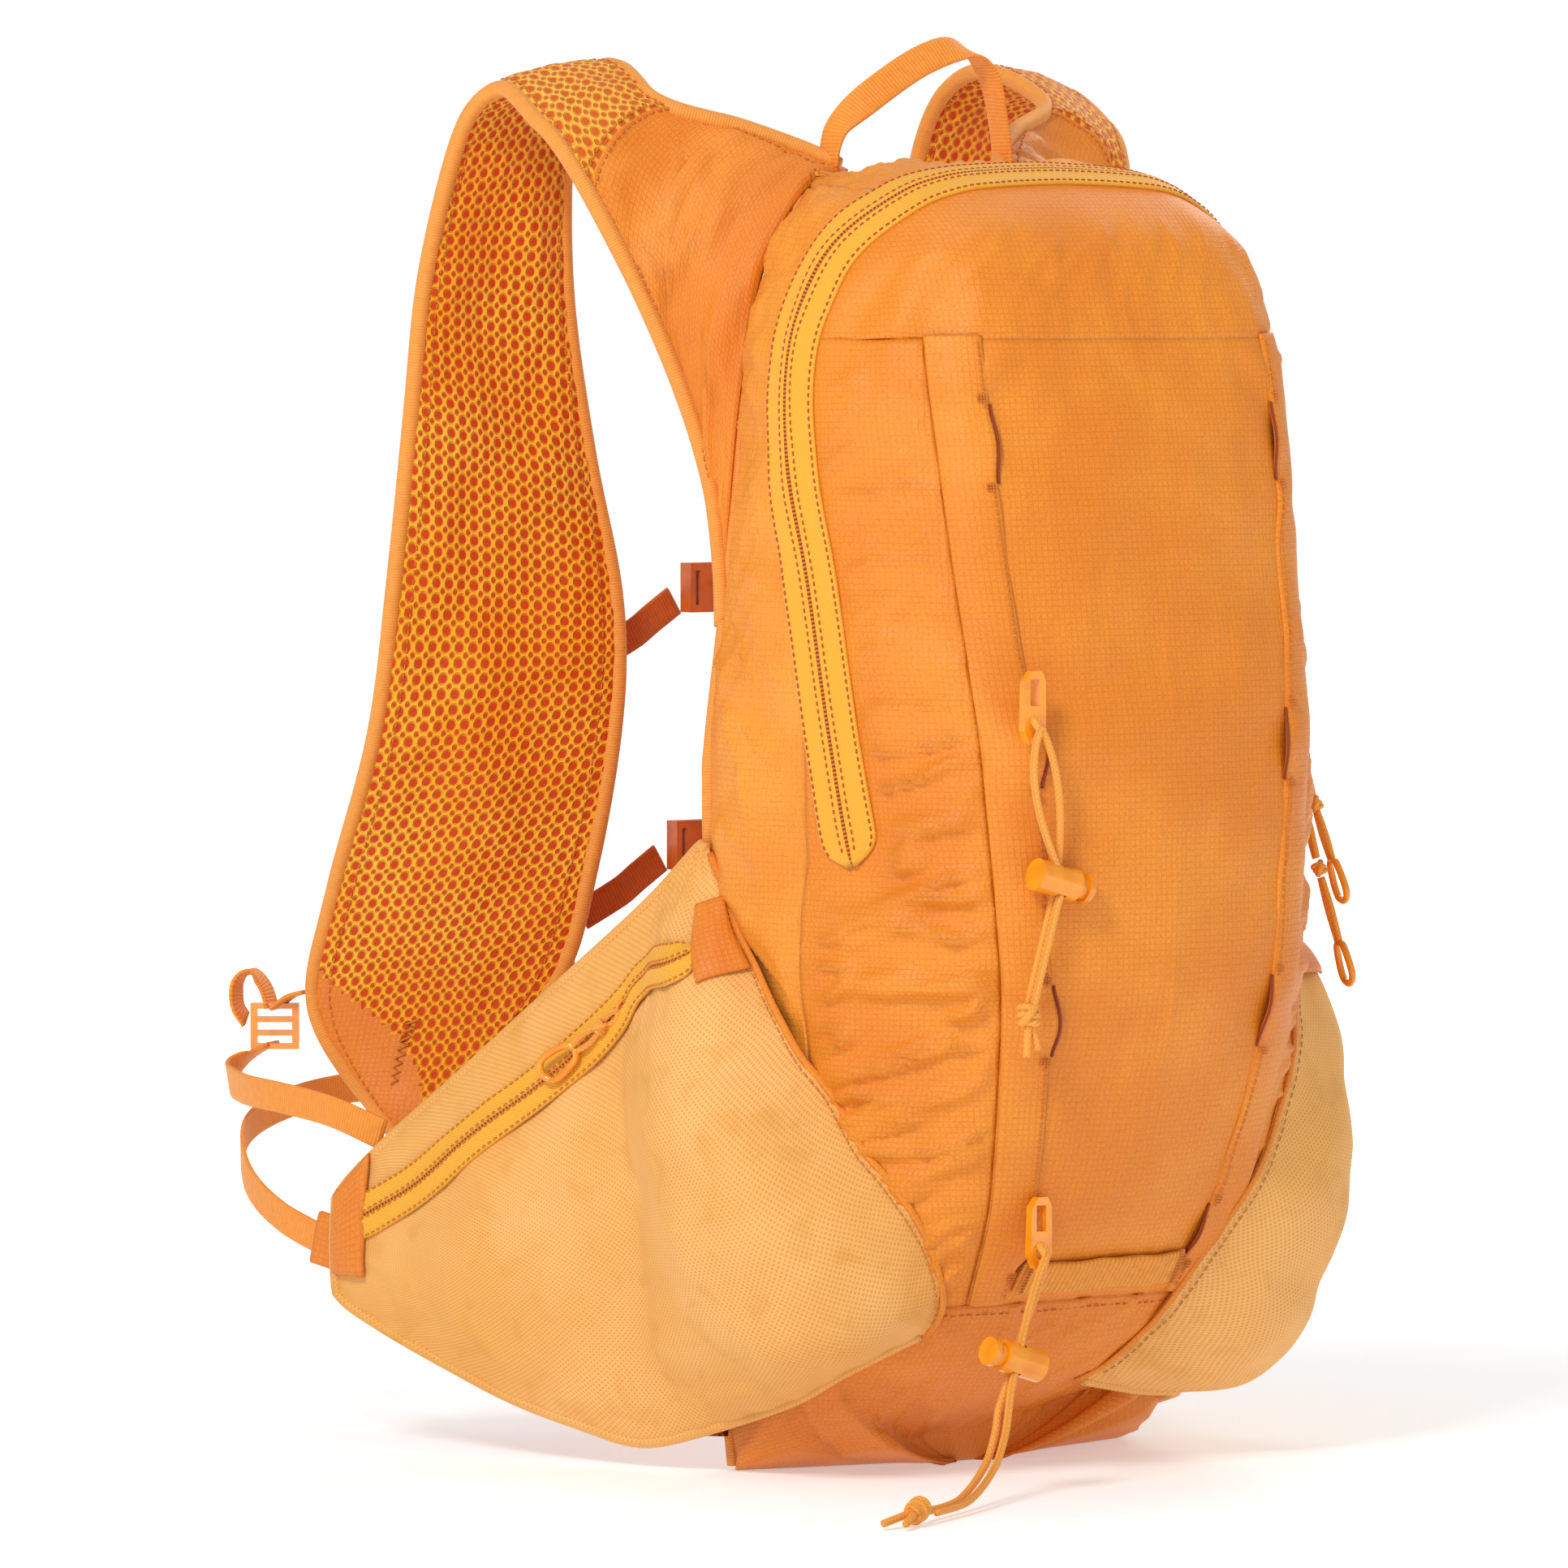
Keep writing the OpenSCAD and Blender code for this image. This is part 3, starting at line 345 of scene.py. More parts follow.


class Nodes:
    """Short way to write a material's node tree."""

    def __init__(self, name):
        self.mat = bpy.data.materials.new(name)
        self.mat.use_nodes = True
        self.t = self.mat.node_tree
        self.bsdf = self.t.nodes["Principled BSDF"]

    def new(self, kind, **props):
        n = self.t.nodes.new(kind)
        for k, v in props.items():
            setattr(n, k, v)
        return n

    def put(self, socket, value):
        """Links another node's output to a socket, or sets the socket to a plain value."""
        if hasattr(value, "links"):
            self.t.links.new(value, socket)
        else:
            socket.default_value = value

    def math(self, op, a, b=0.0):
        n = self.new("ShaderNodeMath", operation=op)
        self.put(n.inputs[0], a)
        self.put(n.inputs[1], b)
        return n.outputs[0]

    def mul(self, a, b):
        return self.math("MULTIPLY", a, b)

    def add(self, a, b):
        return self.math("ADD", a, b)

    def sub(self, a, b):
        return self.math("SUBTRACT", a, b)

    def most(self, a, b):
        return self.math("MAXIMUM", a, b)

    def ramp(self, x, lo, hi, a=0.0, b=1.0):
        """Smooth step of x from a at lo to b at hi."""
        n = self.new("ShaderNodeMapRange", interpolation_type="SMOOTHSTEP")
        self.put(n.inputs["Value"], x)
        for k, v in (("From Min", lo), ("From Max", hi), ("To Min", a), ("To Max", b)):
            n.inputs[k].default_value = v
        return n.outputs["Result"]

    def mix(self, f, a, b):
        """Colour a where f is 0 and b where it is 1."""
        n = self.new("ShaderNodeMix", data_type="RGBA")
        self.put(n.inputs[0], f)
        for s, v in ((6, a), (7, b)):
            self.put(n.inputs[s], v if hasattr(v, "links") else (*v, 1.0))
        return n.outputs[2]

    def noise(self, scale, detail=2.0, vec=None, distortion=0.0):
        n = self.new("ShaderNodeTexNoise")
        n.inputs["Scale"].default_value = scale
        n.inputs["Detail"].default_value = detail
        n.inputs["Distortion"].default_value = distortion
        if vec is not None:
            self.put(n.inputs["Vector"], vec)
        return n.outputs["Fac"]

    def cloth(self):
        """The cloth's own coordinates in millimetres: across, along, and both."""
        uv = self.new("ShaderNodeUVMap", uv_map="cloth")
        sep = self.new("ShaderNodeSeparateXYZ")
        self.put(sep.inputs[0], uv.outputs[0])
        return sep.outputs[0], sep.outputs[1], uv.outputs[0]

    def wave(self, x, pitch):
        """0 midway between lines and 1 on them."""
        f = self.math("FRACT", self.math("DIVIDE", x, pitch))
        return self.mul(self.math("ABSOLUTE", self.sub(f, 0.5)), 2.0)

    def space(self):
        return self.new("ShaderNodeTexCoord").outputs["Object"]

    def done(self, colour, rough, height, strength, distance, sheen=0.0, coat=0.0, metallic=0.0,
             spec=0.4, subsurface=0.0):
        """Sets the surface, with height as a bump of up to distance millimetres."""
        b = self.bsdf.inputs
        self.put(b["Base Color"], colour if hasattr(colour, "links") else (*colour, 1.0))
        self.put(b["Roughness"], rough)
        b["Sheen Weight"].default_value = sheen
        b["Sheen Roughness"].default_value = 0.4
        b["Sheen Tint"].default_value = SHEEN_TINT
        b["Coat Weight"].default_value = coat
        b["Coat Roughness"].default_value = 0.12
        b["Metallic"].default_value = metallic
        b["Specular IOR Level"].default_value = spec
        if subsurface:
            b["Subsurface Weight"].default_value = subsurface
            b["Subsurface Radius"].default_value = (0.004, 0.002, 0.0008)
        n = self.new("ShaderNodeBump")
        n.inputs["Strength"].default_value = strength
        n.inputs["Distance"].default_value = distance * MM
        self.put(n.inputs["Height"], height)
        self.put(b["Normal"], n.outputs[0])
        return self.mat


def lin(r, g, b):
    """Linear colour from a display colour of 0 to 255."""
    return tuple(((c / 255 + 0.055) / 1.055) ** 2.4 if c > 10 else c / 3294 for c in (r, g, b))


def ripstop_material(name, base, dark, light):
    """Thin cloth with a woven grid, soft creases and uneven colour."""
    m = Nodes(name)
    u, v, uv = m.cloth()
    line = m.most(*(m.ramp(m.wave(x, RIPSTOP_GRID), 0.6, 0.9) for x in (u, v)))
    tone = m.noise(22.0, 3.0, m.space(), 0.4)
    fine = m.noise(0.9, 2.0, uv)
    c = m.mix(m.ramp(tone, 0.35, 0.7), base, light)
    c = m.mix(m.mul(m.ramp(fine, 0.4, 0.75), 0.25), c, dark)
    c = m.mix(m.mul(line, 0.2), c, dark)
    thread = m.mul(m.wave(u, RIPSTOP_THREAD), m.wave(v, RIPSTOP_THREAD))
    crease = m.noise(60.0, 4.0, m.space(), 0.8)
    h = m.add(m.mul(line, 0.5), m.mul(thread, 0.18))
    h = m.add(h, m.mul(crease, 0.8))
    rough = m.ramp(fine, 0.2, 0.8, 0.42, 0.58)
    return m.done(c, rough, h, 0.55, 0.3, sheen=0.08, spec=0.45)


def stretch_material(name, base, dark, light):
    """Fine knitted stretch mesh with tiny holes in offset rows."""
    m = Nodes(name)
    u, v, uv = m.cloth()
    row = m.mul(m.wave(u, STRETCH_U), m.wave(v, STRETCH_V))
    next_u, next_v = m.add(u, STRETCH_U / 2), m.add(v, STRETCH_V / 2)
    next_row = m.mul(m.wave(next_u, STRETCH_U), m.wave(next_v, STRETCH_V))
    hole = m.ramp(m.most(row, next_row), 0.42, 0.7)
    tone = m.noise(16.0, 3.0, m.space(), 0.3)
    c = m.mix(m.ramp(tone, 0.35, 0.72), base, light)
    c = m.mix(m.mul(hole, 0.5), c, dark)
    # Painted shade: duller olive patches over the mesh.
    patch = m.ramp(m.noise(75.0, 2.0, m.space(), 0.6), 0.52, 0.74)
    c = m.mix(m.mul(patch, 0.38), c, lin(*SHADE_PATCH_TONE))
    pile = m.noise(2.0, 2.0, uv)
    h = m.sub(m.mul(pile, 0.4), m.mul(hole, 0.6))
    return m.done(c, 0.72, h, 0.5, 0.3, sheen=0.15, spec=0.25)


def spacer_material(name, base, hole_colour, light, pitch_u=4.3, pitch_v=4.7, big=0.33, small=0.17):
    """Open spacer mesh: rows of oval holes, with rows of smaller holes between them."""
    m = Nodes(name)
    u, v, uv = m.cloth()

    def oval(du, dv):
        a = m.math("FRACT", m.add(m.math("DIVIDE", u, pitch_u), du))
        b = m.math("FRACT", m.add(m.math("DIVIDE", v, pitch_v), dv))
        a = m.mul(m.sub(a, 0.5), 1.12)
        b = m.mul(m.sub(b, 0.5), 0.95)
        return m.math("SQRT", m.add(m.mul(a, a), m.mul(b, b)))

    wide, tight = oval(0.0, 0.0), oval(0.5, 0.5)
    hole = m.most(m.ramp(wide, big, big * 0.8), m.ramp(tight, small, small * 0.7))
    tone = m.noise(26.0, 2.0, m.space())
    fibre = m.noise(1.6, 3.0, uv)
    c = m.mix(m.ramp(tone, 0.3, 0.7), base, light)
    c = m.mix(m.mul(m.ramp(fibre, 0.45, 0.8), 0.22), c, hole_colour)
    c = m.mix(hole, c, hole_colour)
    dip = m.mul(m.ramp(wide, big * 0.8, big * 1.4), m.ramp(tight, small * 0.8, small * 1.5))
    h = m.add(dip, m.mul(fibre, 0.15))
    return m.done(c, 0.62, h, 0.9, 1.1, sheen=0.1, spec=0.3)


def rib_material(name, base, dark, pitch=1.1, across=False, strength=0.6, second=0.0):
    """Ribbed tape or webbing with ribs across its length."""
    m = Nodes(name)
    u, v, uv = m.cloth()
    main, other = (u, v) if across else (v, u)
    rib = m.wave(main, pitch)
    fine = m.wave(other, 0.8)
    tone = m.noise(0.35, 2.0, uv)
    c = m.mix(m.mul(m.ramp(rib, 0.4, 1.0), 0.42), base, dark)
    c = m.mix(m.mul(m.ramp(tone, 0.35, 0.75), 0.2), c, dark)
    h = m.sub(m.mul(fine, 0.25 + second), rib)
    return m.done(c, 0.6, h, strength, 0.25, sheen=0.3, spec=0.3)


def twill_material(name, base, dark):
    """Zip tape: fine slanting lines."""
    m = Nodes(name)
    u, v, uv = m.cloth()
    slant = m.wave(m.add(u, v), 1.1)
    fine = m.noise(1.2, 2.0, uv)
    c = m.mix(m.mul(m.ramp(slant, 0.45, 0.95), 0.35), base, dark)
    c = m.mix(m.mul(m.ramp(fine, 0.4, 0.8), 0.18), c, dark)
    return m.done(c, 0.62, m.sub(m.mul(fine, 0.3), slant), 0.5, 0.2, sheen=0.3, spec=0.3)


def coil_material(name, base, dark):
    """The narrow line where the zip's coil meets, with its teeth."""
    m = Nodes(name)
    _, v, _ = m.cloth()
    tooth = m.wave(v, 1.3)
    c = m.mix(m.ramp(tooth, 0.35, 0.75), base, dark)
    return m.done(c, 0.45, m.mul(tooth, -1.0), 0.8, 0.4)


def cord_material(name, base, dark):
    """Braided cord: two crossing sets of slanting lines."""
    m = Nodes(name)
    u, v, _ = m.cloth()
    a = m.wave(m.add(v, m.mul(u, 0.9)), 1.6)
    b = m.wave(m.sub(v, m.mul(u, 0.9)), 1.6)
    x = m.most(a, b)
    c = m.mix(m.mul(m.ramp(x, 0.6, 1.0), 0.5), base, dark)
    return m.done(c, 0.6, m.mul(x, -1.0), 0.6, 0.25, sheen=0.3, spec=0.3)


def plastic_material(name, base, dark, rough=0.3, coat=0.35, sub=0.15):
    m = Nodes(name)
    grain = m.noise(900.0, 2.0, m.space())
    tone = m.noise(120.0, 2.0, m.space())
    c = m.mix(m.ramp(tone, 0.35, 0.75), base, dark)
    r = m.ramp(grain, 0.3, 0.7, rough * 0.8, rough * 1.3)
    return m.done(c, r, grain, 0.12, 0.1, coat=coat, spec=0.5, subsurface=sub)


def foam_material(name, base, dark):
    m = Nodes(name)
    cell = m.noise(700.0, 3.0, m.space())
    c = m.mix(m.ramp(cell, 0.35, 0.7), base, dark)
    return m.done(c, 0.9, cell, 0.6, 0.4)


def steel_material(name, base):
    m = Nodes(name)
    scratch = m.noise(1500.0, 3.0, m.space())
    return m.done(base, m.ramp(scratch, 0.3, 0.7, 0.25, 0.45), scratch, 0.1, 0.05, metallic=1.0)


def thread_material(name, base):
    m = Nodes(name)
    fibre = m.noise(2500.0, 2.0, m.space())
    c = m.mix(fibre, base, tuple(x * 0.75 for x in base))
    return m.done(c, 0.6, fibre, 0.3, 0.1, sheen=0.2)


RIP = ripstop_material("ripstop", lin(227, 130, 23), lin(192, 88, 7), lin(236, 144, 34))
# Lighter copy of the ripstop: painted highlight on the side panels and on the top cloth behind the zip.
RIP_LIT = ripstop_material("ripstop_lit", lin(232, 140, 33), lin(198, 98, 10), lin(242, 156, 48))
RIP_YOKE = ripstop_material("ripstop_yoke", lin(229, 131, 28), lin(194, 90, 8), lin(239, 147, 42))
# Slightly darker copy of the ripstop; on the base it is painted shade.
RIP_DEEP = ripstop_material("ripstop_deep", lin(225, 126, 30), lin(192, 86, 8), lin(233, 138, 38))
STRETCH = stretch_material("stretch_mesh", lin(233, 170, 90), lin(200, 124, 42), lin(242, 184, 112))
SPACER = spacer_material("spacer_mesh", lin(255, 163, 22), lin(202, 58, 0), lin(255, 182, 48))
SPACER_TOP = spacer_material("spacer_mesh_top", lin(250, 164, 42), lin(206, 84, 0), lin(255, 184, 68))
BACK_MESH = spacer_material("back_mesh", lin(240, 140, 28), lin(196, 66, 8), lin(248, 152, 40), 3.8, 4.2)
BINDING = rib_material("binding", lin(236, 154, 66), lin(200, 112, 34), 0.9, strength=0.45)
WEB = rib_material("webbing", lin(244, 152, 54), lin(204, 104, 22), 1.2, strength=0.7)
CHEST_WEB = rib_material("chest_webbing", lin(206, 104, 40), lin(160, 66, 20), 1.2, strength=0.7)
ELASTIC = rib_material("elastic_band", lin(246, 160, 52), lin(188, 82, 12), 1.7, across=True, strength=1.0,
                       second=0.5)
TAPE = twill_material("zip_tape", lin(238, 172, 52), lin(204, 126, 20))
COIL = coil_material("zip_coil", lin(220, 120, 20), lin(130, 44, 6))
CORD = cord_material("shock_cord", lin(248, 168, 70), lin(210, 116, 34))
AMBER = plastic_material("amber_plastic", lin(246, 154, 8), lin(232, 132, 4), 0.2, 0.7)
BURNT = plastic_material("burnt_plastic", lin(206, 104, 40), lin(186, 84, 28), 0.42, 0.15)
METAL = plastic_material("slider_metal", lin(240, 150, 34), lin(224, 130, 22), 0.28, 0.5, 0.0)
STEEL = steel_material("spring_steel", (0.55, 0.55, 0.57))
FOAM = foam_material("foam", lin(214, 208, 196), lin(186, 180, 168))
THREAD = thread_material("thread", lin(222, 124, 34))
THREAD_PALE = thread_material("thread_pale", lin(218, 138, 58))
THREAD_DEEP = thread_material("thread_deep", lin(190, 76, 20))
# Raw edges of the daisy slots, coloured dark as painted shade of the gap under the lifted strip.
RAW_EDGE_AND_SHADE = thread_material("raw_edge_and_shade", lin(150, 50, 18))


def finish_piece(ob, body=None, replaces=(), blend=None):
    """Hides the parts that a piece replaces, and puts the piece on its body; with a blend it is left in
    place, on no body.
    """
    if replaces:
        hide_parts(*replaces)
    if blend:
        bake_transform(ob)
    else:
        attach(ob, body)


# ------------------------------------------------------------------ bag surface
# A point of the bag's cloth is known by u and z. u runs from -1 at the left rear edge, over 0 at the
# middle of the front, to 1 at the right rear edge. z is the height, and past the crown it runs on
# backwards over the top.
BAG_W, BAG_H, BAG_D = 178.0, 405.0, 128.0
BACK_Y, SHELL_REAR_Y = 55.0, 48.5
FRONT_Y = BACK_Y - BAG_D
CAP_Z, CAP_LEN = 401.0, 60.0
SPREAD = 225.0  # millimetres of cloth for one unit of u
ROUND_U, SIDE_U = 0.7, 0.3  # shares of u taken by the rounded front and by the flat side
FAR = 99.0  # stands for a seam that isn't near
CLOTH_T = 1.2

# Corner of the outline (share of the width, share of the depth), then width and depth by height
CORNER = [[0, 1], [0.22, 0.998], [0.43, 0.98], [0.64, 0.91], [0.79, 0.70], [0.92, 0.36], [1, 0]]
WIDTH = [[0, .50], [.03, .68], [.08, .81], [.15, .90], [.22, .94], [.39, .98], [.58, 1], [.74, .995],
         [.84, .975], [.885, .95], [.945, .85], [.98, .70], [1, .50]]
DEPTH = [[0, -.30], [.03, -.06], [.08, .23], [.15, .46], [.22, .66], [.39, .92], [.58, 1], [.74, .91],
         [.84, .82], [.885, .76], [.945, .63], [.98, .46], [1, .22]]
# Millimetres added at a height to the front and to the rear edges, and lift of the base by u
BELLY = [[0, 0], [30, 1], [56, 3], [90, 10], [140, 12], [190, 9], [240, 4], [290, 0], [500, 0]]
REAR_FLARE = [[0, 38], [12, 27], [32, 18], [60, 10], [89, 7], [158, 9], [196, 12], [216, 12], [240, 9.5],
              [260, 6.5], [280, 4], [300, 2], [330, 0], [500, 0]]
BASE_LIFT = [[0, 12], [.45, 15], [.62, 17], [.78, 15], [.9, 6], [1, 0]]

# Seams: the strips' outer edges run from SEAM_LOW up to SEAM_HIGH, and the zip's line is at ZIP_U
SEAM_LOW, SEAM_HIGH = 0.300, 0.462
FRONT_LOW, FRONT_HIGH = 56.0, 354.0
ZIP_U = 0.66
CROWN_V = 407.0


def outline(u, z):
    """The bag's outline at each height."""
    corner = spline(CORNER, np.minimum(abs(u) / ROUND_U, 1) * (len(CORNER) - 1))
    k = np.maximum(abs(u) - ROUND_U, 0) / SIDE_U
    half = BAG_W / 2 * lookup(z / BAG_H, WIDTH)
    front = FRONT_Y * lookup(z / BAG_H, DEPTH)
    x = np.sign(u) * half * corner[..., 0] * (1 - 0.18 * k * k)
    y = front * corner[..., 1] + k * SHELL_REAR_Y
    return np.stack([x, y, z + 0 * x], -1)


def raw_surface(u, z):
    """The bag's outline up to the crown, and above it the top cloth running back to the wearer's side."""
    low = outline(u, np.minimum(z, CAP_Z))
    low[..., 1] -= lookup(z, BELLY) * np.clip(1 - abs(u) / 0.54, 0, 1) ** 0.5
    low[..., 0] += np.sign(u) * lookup(z, REAR_FLARE) * fade(abs(u), 0.62, 1)
    lean = 7 * np.sin(math.pi * u / 1.6) * (abs(u) < 0.8)
    lift = lookup(abs(u), BASE_LIFT) + lean
    low[..., 2] += np.maximum(lift, 0) * np.clip(1 - z / 60, 0, 1) ** 1.6
    t = np.clip((z - CAP_Z) / CAP_LEN, 0, 1)[..., None]
    rear = np.stack([44 * u, 52 + 0 * u, CAP_Z + 2 + 0 * u], -1)
    p = low * (1 - t) + rear * t
    p[..., 2] += 6.5 * np.sin(math.pi * t[..., 0] ** 0.8) * (1 - 0.5 * abs(u))
    return p


Z_AXIS = np.arange(0, CAP_Z + CAP_LEN + 1, 2.0)
U_AXIS = np.linspace(-1, 1, 161)
ZZ, UU = np.meshgrid(Z_AXIS, U_AXIS, indexing="ij")
surface0 = blur(raw_surface(UU, ZZ), 3.2, 0)
surface0[..., 2] = np.maximum(surface0[..., 2], 0.0)
normal0 = unit(blur(blur(grid_normals(surface0), 2, 0), 1.5, 1))


def seam_u(z):
    """Outer edge of the daisy strip, where the front meets the outer panel."""
    f = np.clip((np.asarray(z, float) - FRONT_LOW) / (FRONT_HIGH - FRONT_LOW), 0, 1)
    return SEAM_LOW + (SEAM_HIGH - SEAM_LOW) * f


def cloth_shift(points, faces, pin, pressure=1.2, slack=0.03, cap=6.0):
    """Cloth simulation of a pinned sheet. Returns how far each point moved, in millimetres.
    pin is 1 where the cloth is sewn down, and slack is how much longer the cloth is than its pattern."""
    me = bpy.data.meshes.new("sim")
    me.from_pydata((points * MM).tolist(), [], faces)
    ob = bpy.data.objects.new("sim", me)
    bpy.context.scene.collection.objects.link(ob)
    group = ob.vertex_groups.new(name="pin")
    levels = np.round(pin, 2)
    for level in np.unique(levels):
        if level > 0:
            group.add(np.nonzero(levels == level)[0].tolist(), float(level), "REPLACE")
    mod = ob.modifiers.new("cloth", "CLOTH")
    mod.collision_settings.use_collision = False
    cloth = mod.settings
    cloth.quality = 6
    cloth.mass = 0.15
    cloth.tension_stiffness = cloth.compression_stiffness = 12
    cloth.shear_stiffness = 5
    cloth.bending_stiffness = 0.35
    cloth.vertex_group_mass = "pin"
    cloth.pin_stiffness = 5
    cloth.shrink_min = -slack
    cloth.use_pressure = True
    cloth.uniform_pressure_force = pressure
    cloth.effector_weights.gravity = 0
    scene = bpy.context.scene
    for step in range(1, CLOTH_STEPS + 1):
        scene.frame_set(step)
    solved = ob.evaluated_get(bpy.context.evaluated_depsgraph_get())
    co = np.zeros(len(points) * 3)
    solved.data.vertices.foreach_get("co", co)
    shift = co.reshape(-1, 3) / MM - points
    bpy.data.objects.remove(ob)
    bpy.data.meshes.remove(me)
    scene.frame_set(1)
    size = np.linalg.norm(shift, axis=1, keepdims=True)
    return shift * np.minimum(1, cap / np.maximum(size, 1e-6))


def simulate_shell():
    """Wrinkles of the ripstop between its seams, solved at every second point of the surface."""
    half = (slice(0, None, 2), slice(0, None, 2))
    z, u, n = ZZ[half], UU[half], normal0[half]
    to_seam = abs(abs(u) - seam_u(z)) * SPREAD
    to_seam = np.where((z > FRONT_HIGH) | (abs(u) > ZIP_U + 0.2), FAR, to_seam)
    to_zip = np.where((z < 190) | (z > 395), FAR, abs(abs(u) - ZIP_U) * SPREAD)
    across = np.minimum(abs(z - FRONT_LOW), np.where(abs(u) < ROUND_U, abs(z - FRONT_HIGH), FAR))
    edge = np.minimum((1 - abs(u)) * SPREAD, np.minimum(z, Z_AXIS[-1] - z))
    nearest = np.minimum.reduce([to_seam, to_zip, across, edge, abs(z - BAG_H)])
    pin = np.clip(1 - nearest / 9, 0, 1)
    rough = surface0[half] + n * (fbm(u * 9, z / 26, 3) * 1.4)[..., None]
    shift = cloth_shift(rough.reshape(-1, 3), quads(*rough.shape[:2]), pin.ravel(), slack=0.022)
    along = np.sum((rough + shift.reshape(rough.shape) - surface0[half]) * n, -1)
    return Table(Z_AXIS[::2], U_AXIS[::2], np.clip(along, -5, 6)[..., None])(ZZ, UU)


# The zip's left leg from its foot to the middle of the crown, as u and z
ZIP_LEG = [[0.585, 193], [0.60, 208], [0.62, 235], [0.655, 285], [0.70, 318], [0.715, 341], [0.705, 362],
           [0.66, 384], [0.56, 399], [0.42, 406], [0.25, 409], [0.0, 410]]
leg_line = even(np.array(ZIP_LEG) * [SPREAD, 1], 4.0)


def zip_calm(u, z):
    """0 under the zip tape and 1 well away from it, so that the cloth lies flat under the tape."""
    a, b = np.broadcast_arrays(abs(u) * SPREAD, z)
    q = np.stack([a, b], -1)[..., None, :] - leg_line
    front = (abs(u) < 0.68) & (z < 330)
    d = np.sqrt((q * q).sum(-1)).min(-1)
    return np.where(front, fade(d, 11.0, 17.0), fade(d, 14.5, 27.0))


def shell_wrinkles():
    """The solved wrinkles, flat under the zip and weaker on the front panel."""
    calm = zip_calm(UU[::4, ::4], ZZ[::4, ::4])
    calm = np.repeat(np.repeat(calm, 4, 0), 4, 1)[:len(Z_AXIS), :len(U_AXIS), None]
    wave = simulate_shell() * calm * (0.45 + 0.55 * fade(abs(UU), 0.3, 0.45))[..., None]
    return blur(blur(wave, 1.5, 0), 1.5, 1)


BAG = Table(Z_AXIS, U_AXIS, surface0 + normal0 * shell_wrinkles())
BAG_N = Table(Z_AXIS, U_AXIS, normal0)


def on_bag(u, z, off=0.0):
    """Points on the bag's cloth, off outwards."""
    return BAG(z, u) + unit(BAG_N(z, u)) * column(off)


def bag_normal(u, z):
    """Direction out of the bag's cloth."""
    return unit(BAG_N(z, u))


def bag_patch(u0, u1, z0, z1, nu, nz):
    """u, z and the share of the way across, on a grid between two edges that may change with height."""
    z = np.linspace(z0, z1, nz + 1)[:, None]
    c = np.linspace(0, 1, nu + 1)[None, :]
    a, b = (edge(z) if callable(edge) else edge + 0 * z for edge in (u0, u1))
    u = a + (b - a) * c
    return u, z + 0 * u, c + 0 * u


def bag_panel(name, edges, counts, relief, mat, node, thick=CLOTH_T):
    """A panel of the bag between two values or curves of u and two heights."""
    u, z, _ = bag_patch(*edges, *counts)
    finish_piece(sheet(name, on_bag(u, z, relief(u, z)), thick, mat), "bag", [node])


def pucker(along, dist, amp=0.5, wavelength=9.0, reach=9.0, seed=0):
    """Small gathers beside a stitched seam."""
    phase = along / wavelength * 2 * math.pi + 1.7 * np.sin(along / 23.0 + seed)
    return amp * np.sin(phase) * np.exp(-np.maximum(dist, 0) / reach) * fade(dist, 0, 3.5)


def seam_dip(dist):
    """Small groove along a stitched seam."""
    return -0.5 * np.exp(-(dist / 1.8) ** 2)


def crease(u, z, angle, size, seed):
    """Long slanting folds, from 0 to 1."""
    x = u * SPREAD
    a = x * math.cos(angle) + z * math.sin(angle)
    b = -x * math.sin(angle) + z * math.cos(angle)
    f = fbm(a / (size * 4), b / size, seed, 2)
    return np.maximum(1 - abs(f) * 3.2, 0) ** 1.5


# ------------------------------------------------------------------ bag panels


def front_relief(u, z):
    """Front panel, between the two strips, with drag folds at its upper corners."""
    side = (seam_u(z) - abs(u)) * SPREAD
    top, low = FRONT_HIGH - z, z - FRONT_LOW
    o = seam_dip(side) + seam_dip(top) + seam_dip(low)
    o = o + pucker(u * SPREAD, top, 0.15, 12, 11, 1) + pucker(z, side, 0.3, 13, 7, 2)
    o = o + 0.3 * crease(u, z, 1.25, 17, 5) * fade(side, 2, 14) * fade(top, 0, 40)
    corner = np.exp(-((abs(u) - SEAM_HIGH) * SPREAD / 34) ** 2 - (top / 26) ** 2)
    folds = 2.6 * np.sin((abs(u) * SPREAD - top * 0.9) / 4.6)
    return o + corner * folds * fade(top, 0, 7) * fade(side, 0, 6)


def pocket_edge_u(z):
    """Roughly where the hip pocket's front edge crosses the bag."""
    return np.interp(z, [30, 50, 58, 158, 196], [.52, .36, .345, .76, .95])


def outer_relief(u, z):
    """Outer panels, between the strips and the zip, with folds pulled towards the hip pockets."""
    inner = (abs(u) - seam_u(z)) * SPREAD
    outer = (ZIP_U - abs(u)) * SPREAD
    top, low = FRONT_HIGH - z, z - FRONT_LOW
    o = seam_dip(inner) + seam_dip(top) + seam_dip(low)
    o = o + pucker(z, inner, 0.45, 15, 10, 3) + pucker(z * 1.1, outer, 0.6, 17, 10, 4)
    o = o + pucker(u * SPREAD, top, 0.25, 10, 9, 2)
    drag = crease(u, z, 0.22, 11, 8) * (0.8 + 1.0 * bump(z, 175, 110))
    free = fade(inner, 0, 12) * fade(outer, 0, 16) * fade(top, 0, 12) * fade(low, 0, 10)
    free = free * np.where(u > 0, 0.45, 1.0)
    o = o + 2.6 * drag * free
    o = o + 0.5 * np.sin(z / 2.9 + 2 * np.sin(z / 17)) * free * fade(z, 190, 250)
    to_pocket = (pocket_edge_u(z) - abs(u)) * SPREAD
    o = o + pucker(z - u * 60, to_pocket, 0.9, 11, 14, 5) * free
    return o * zip_calm(u, z)


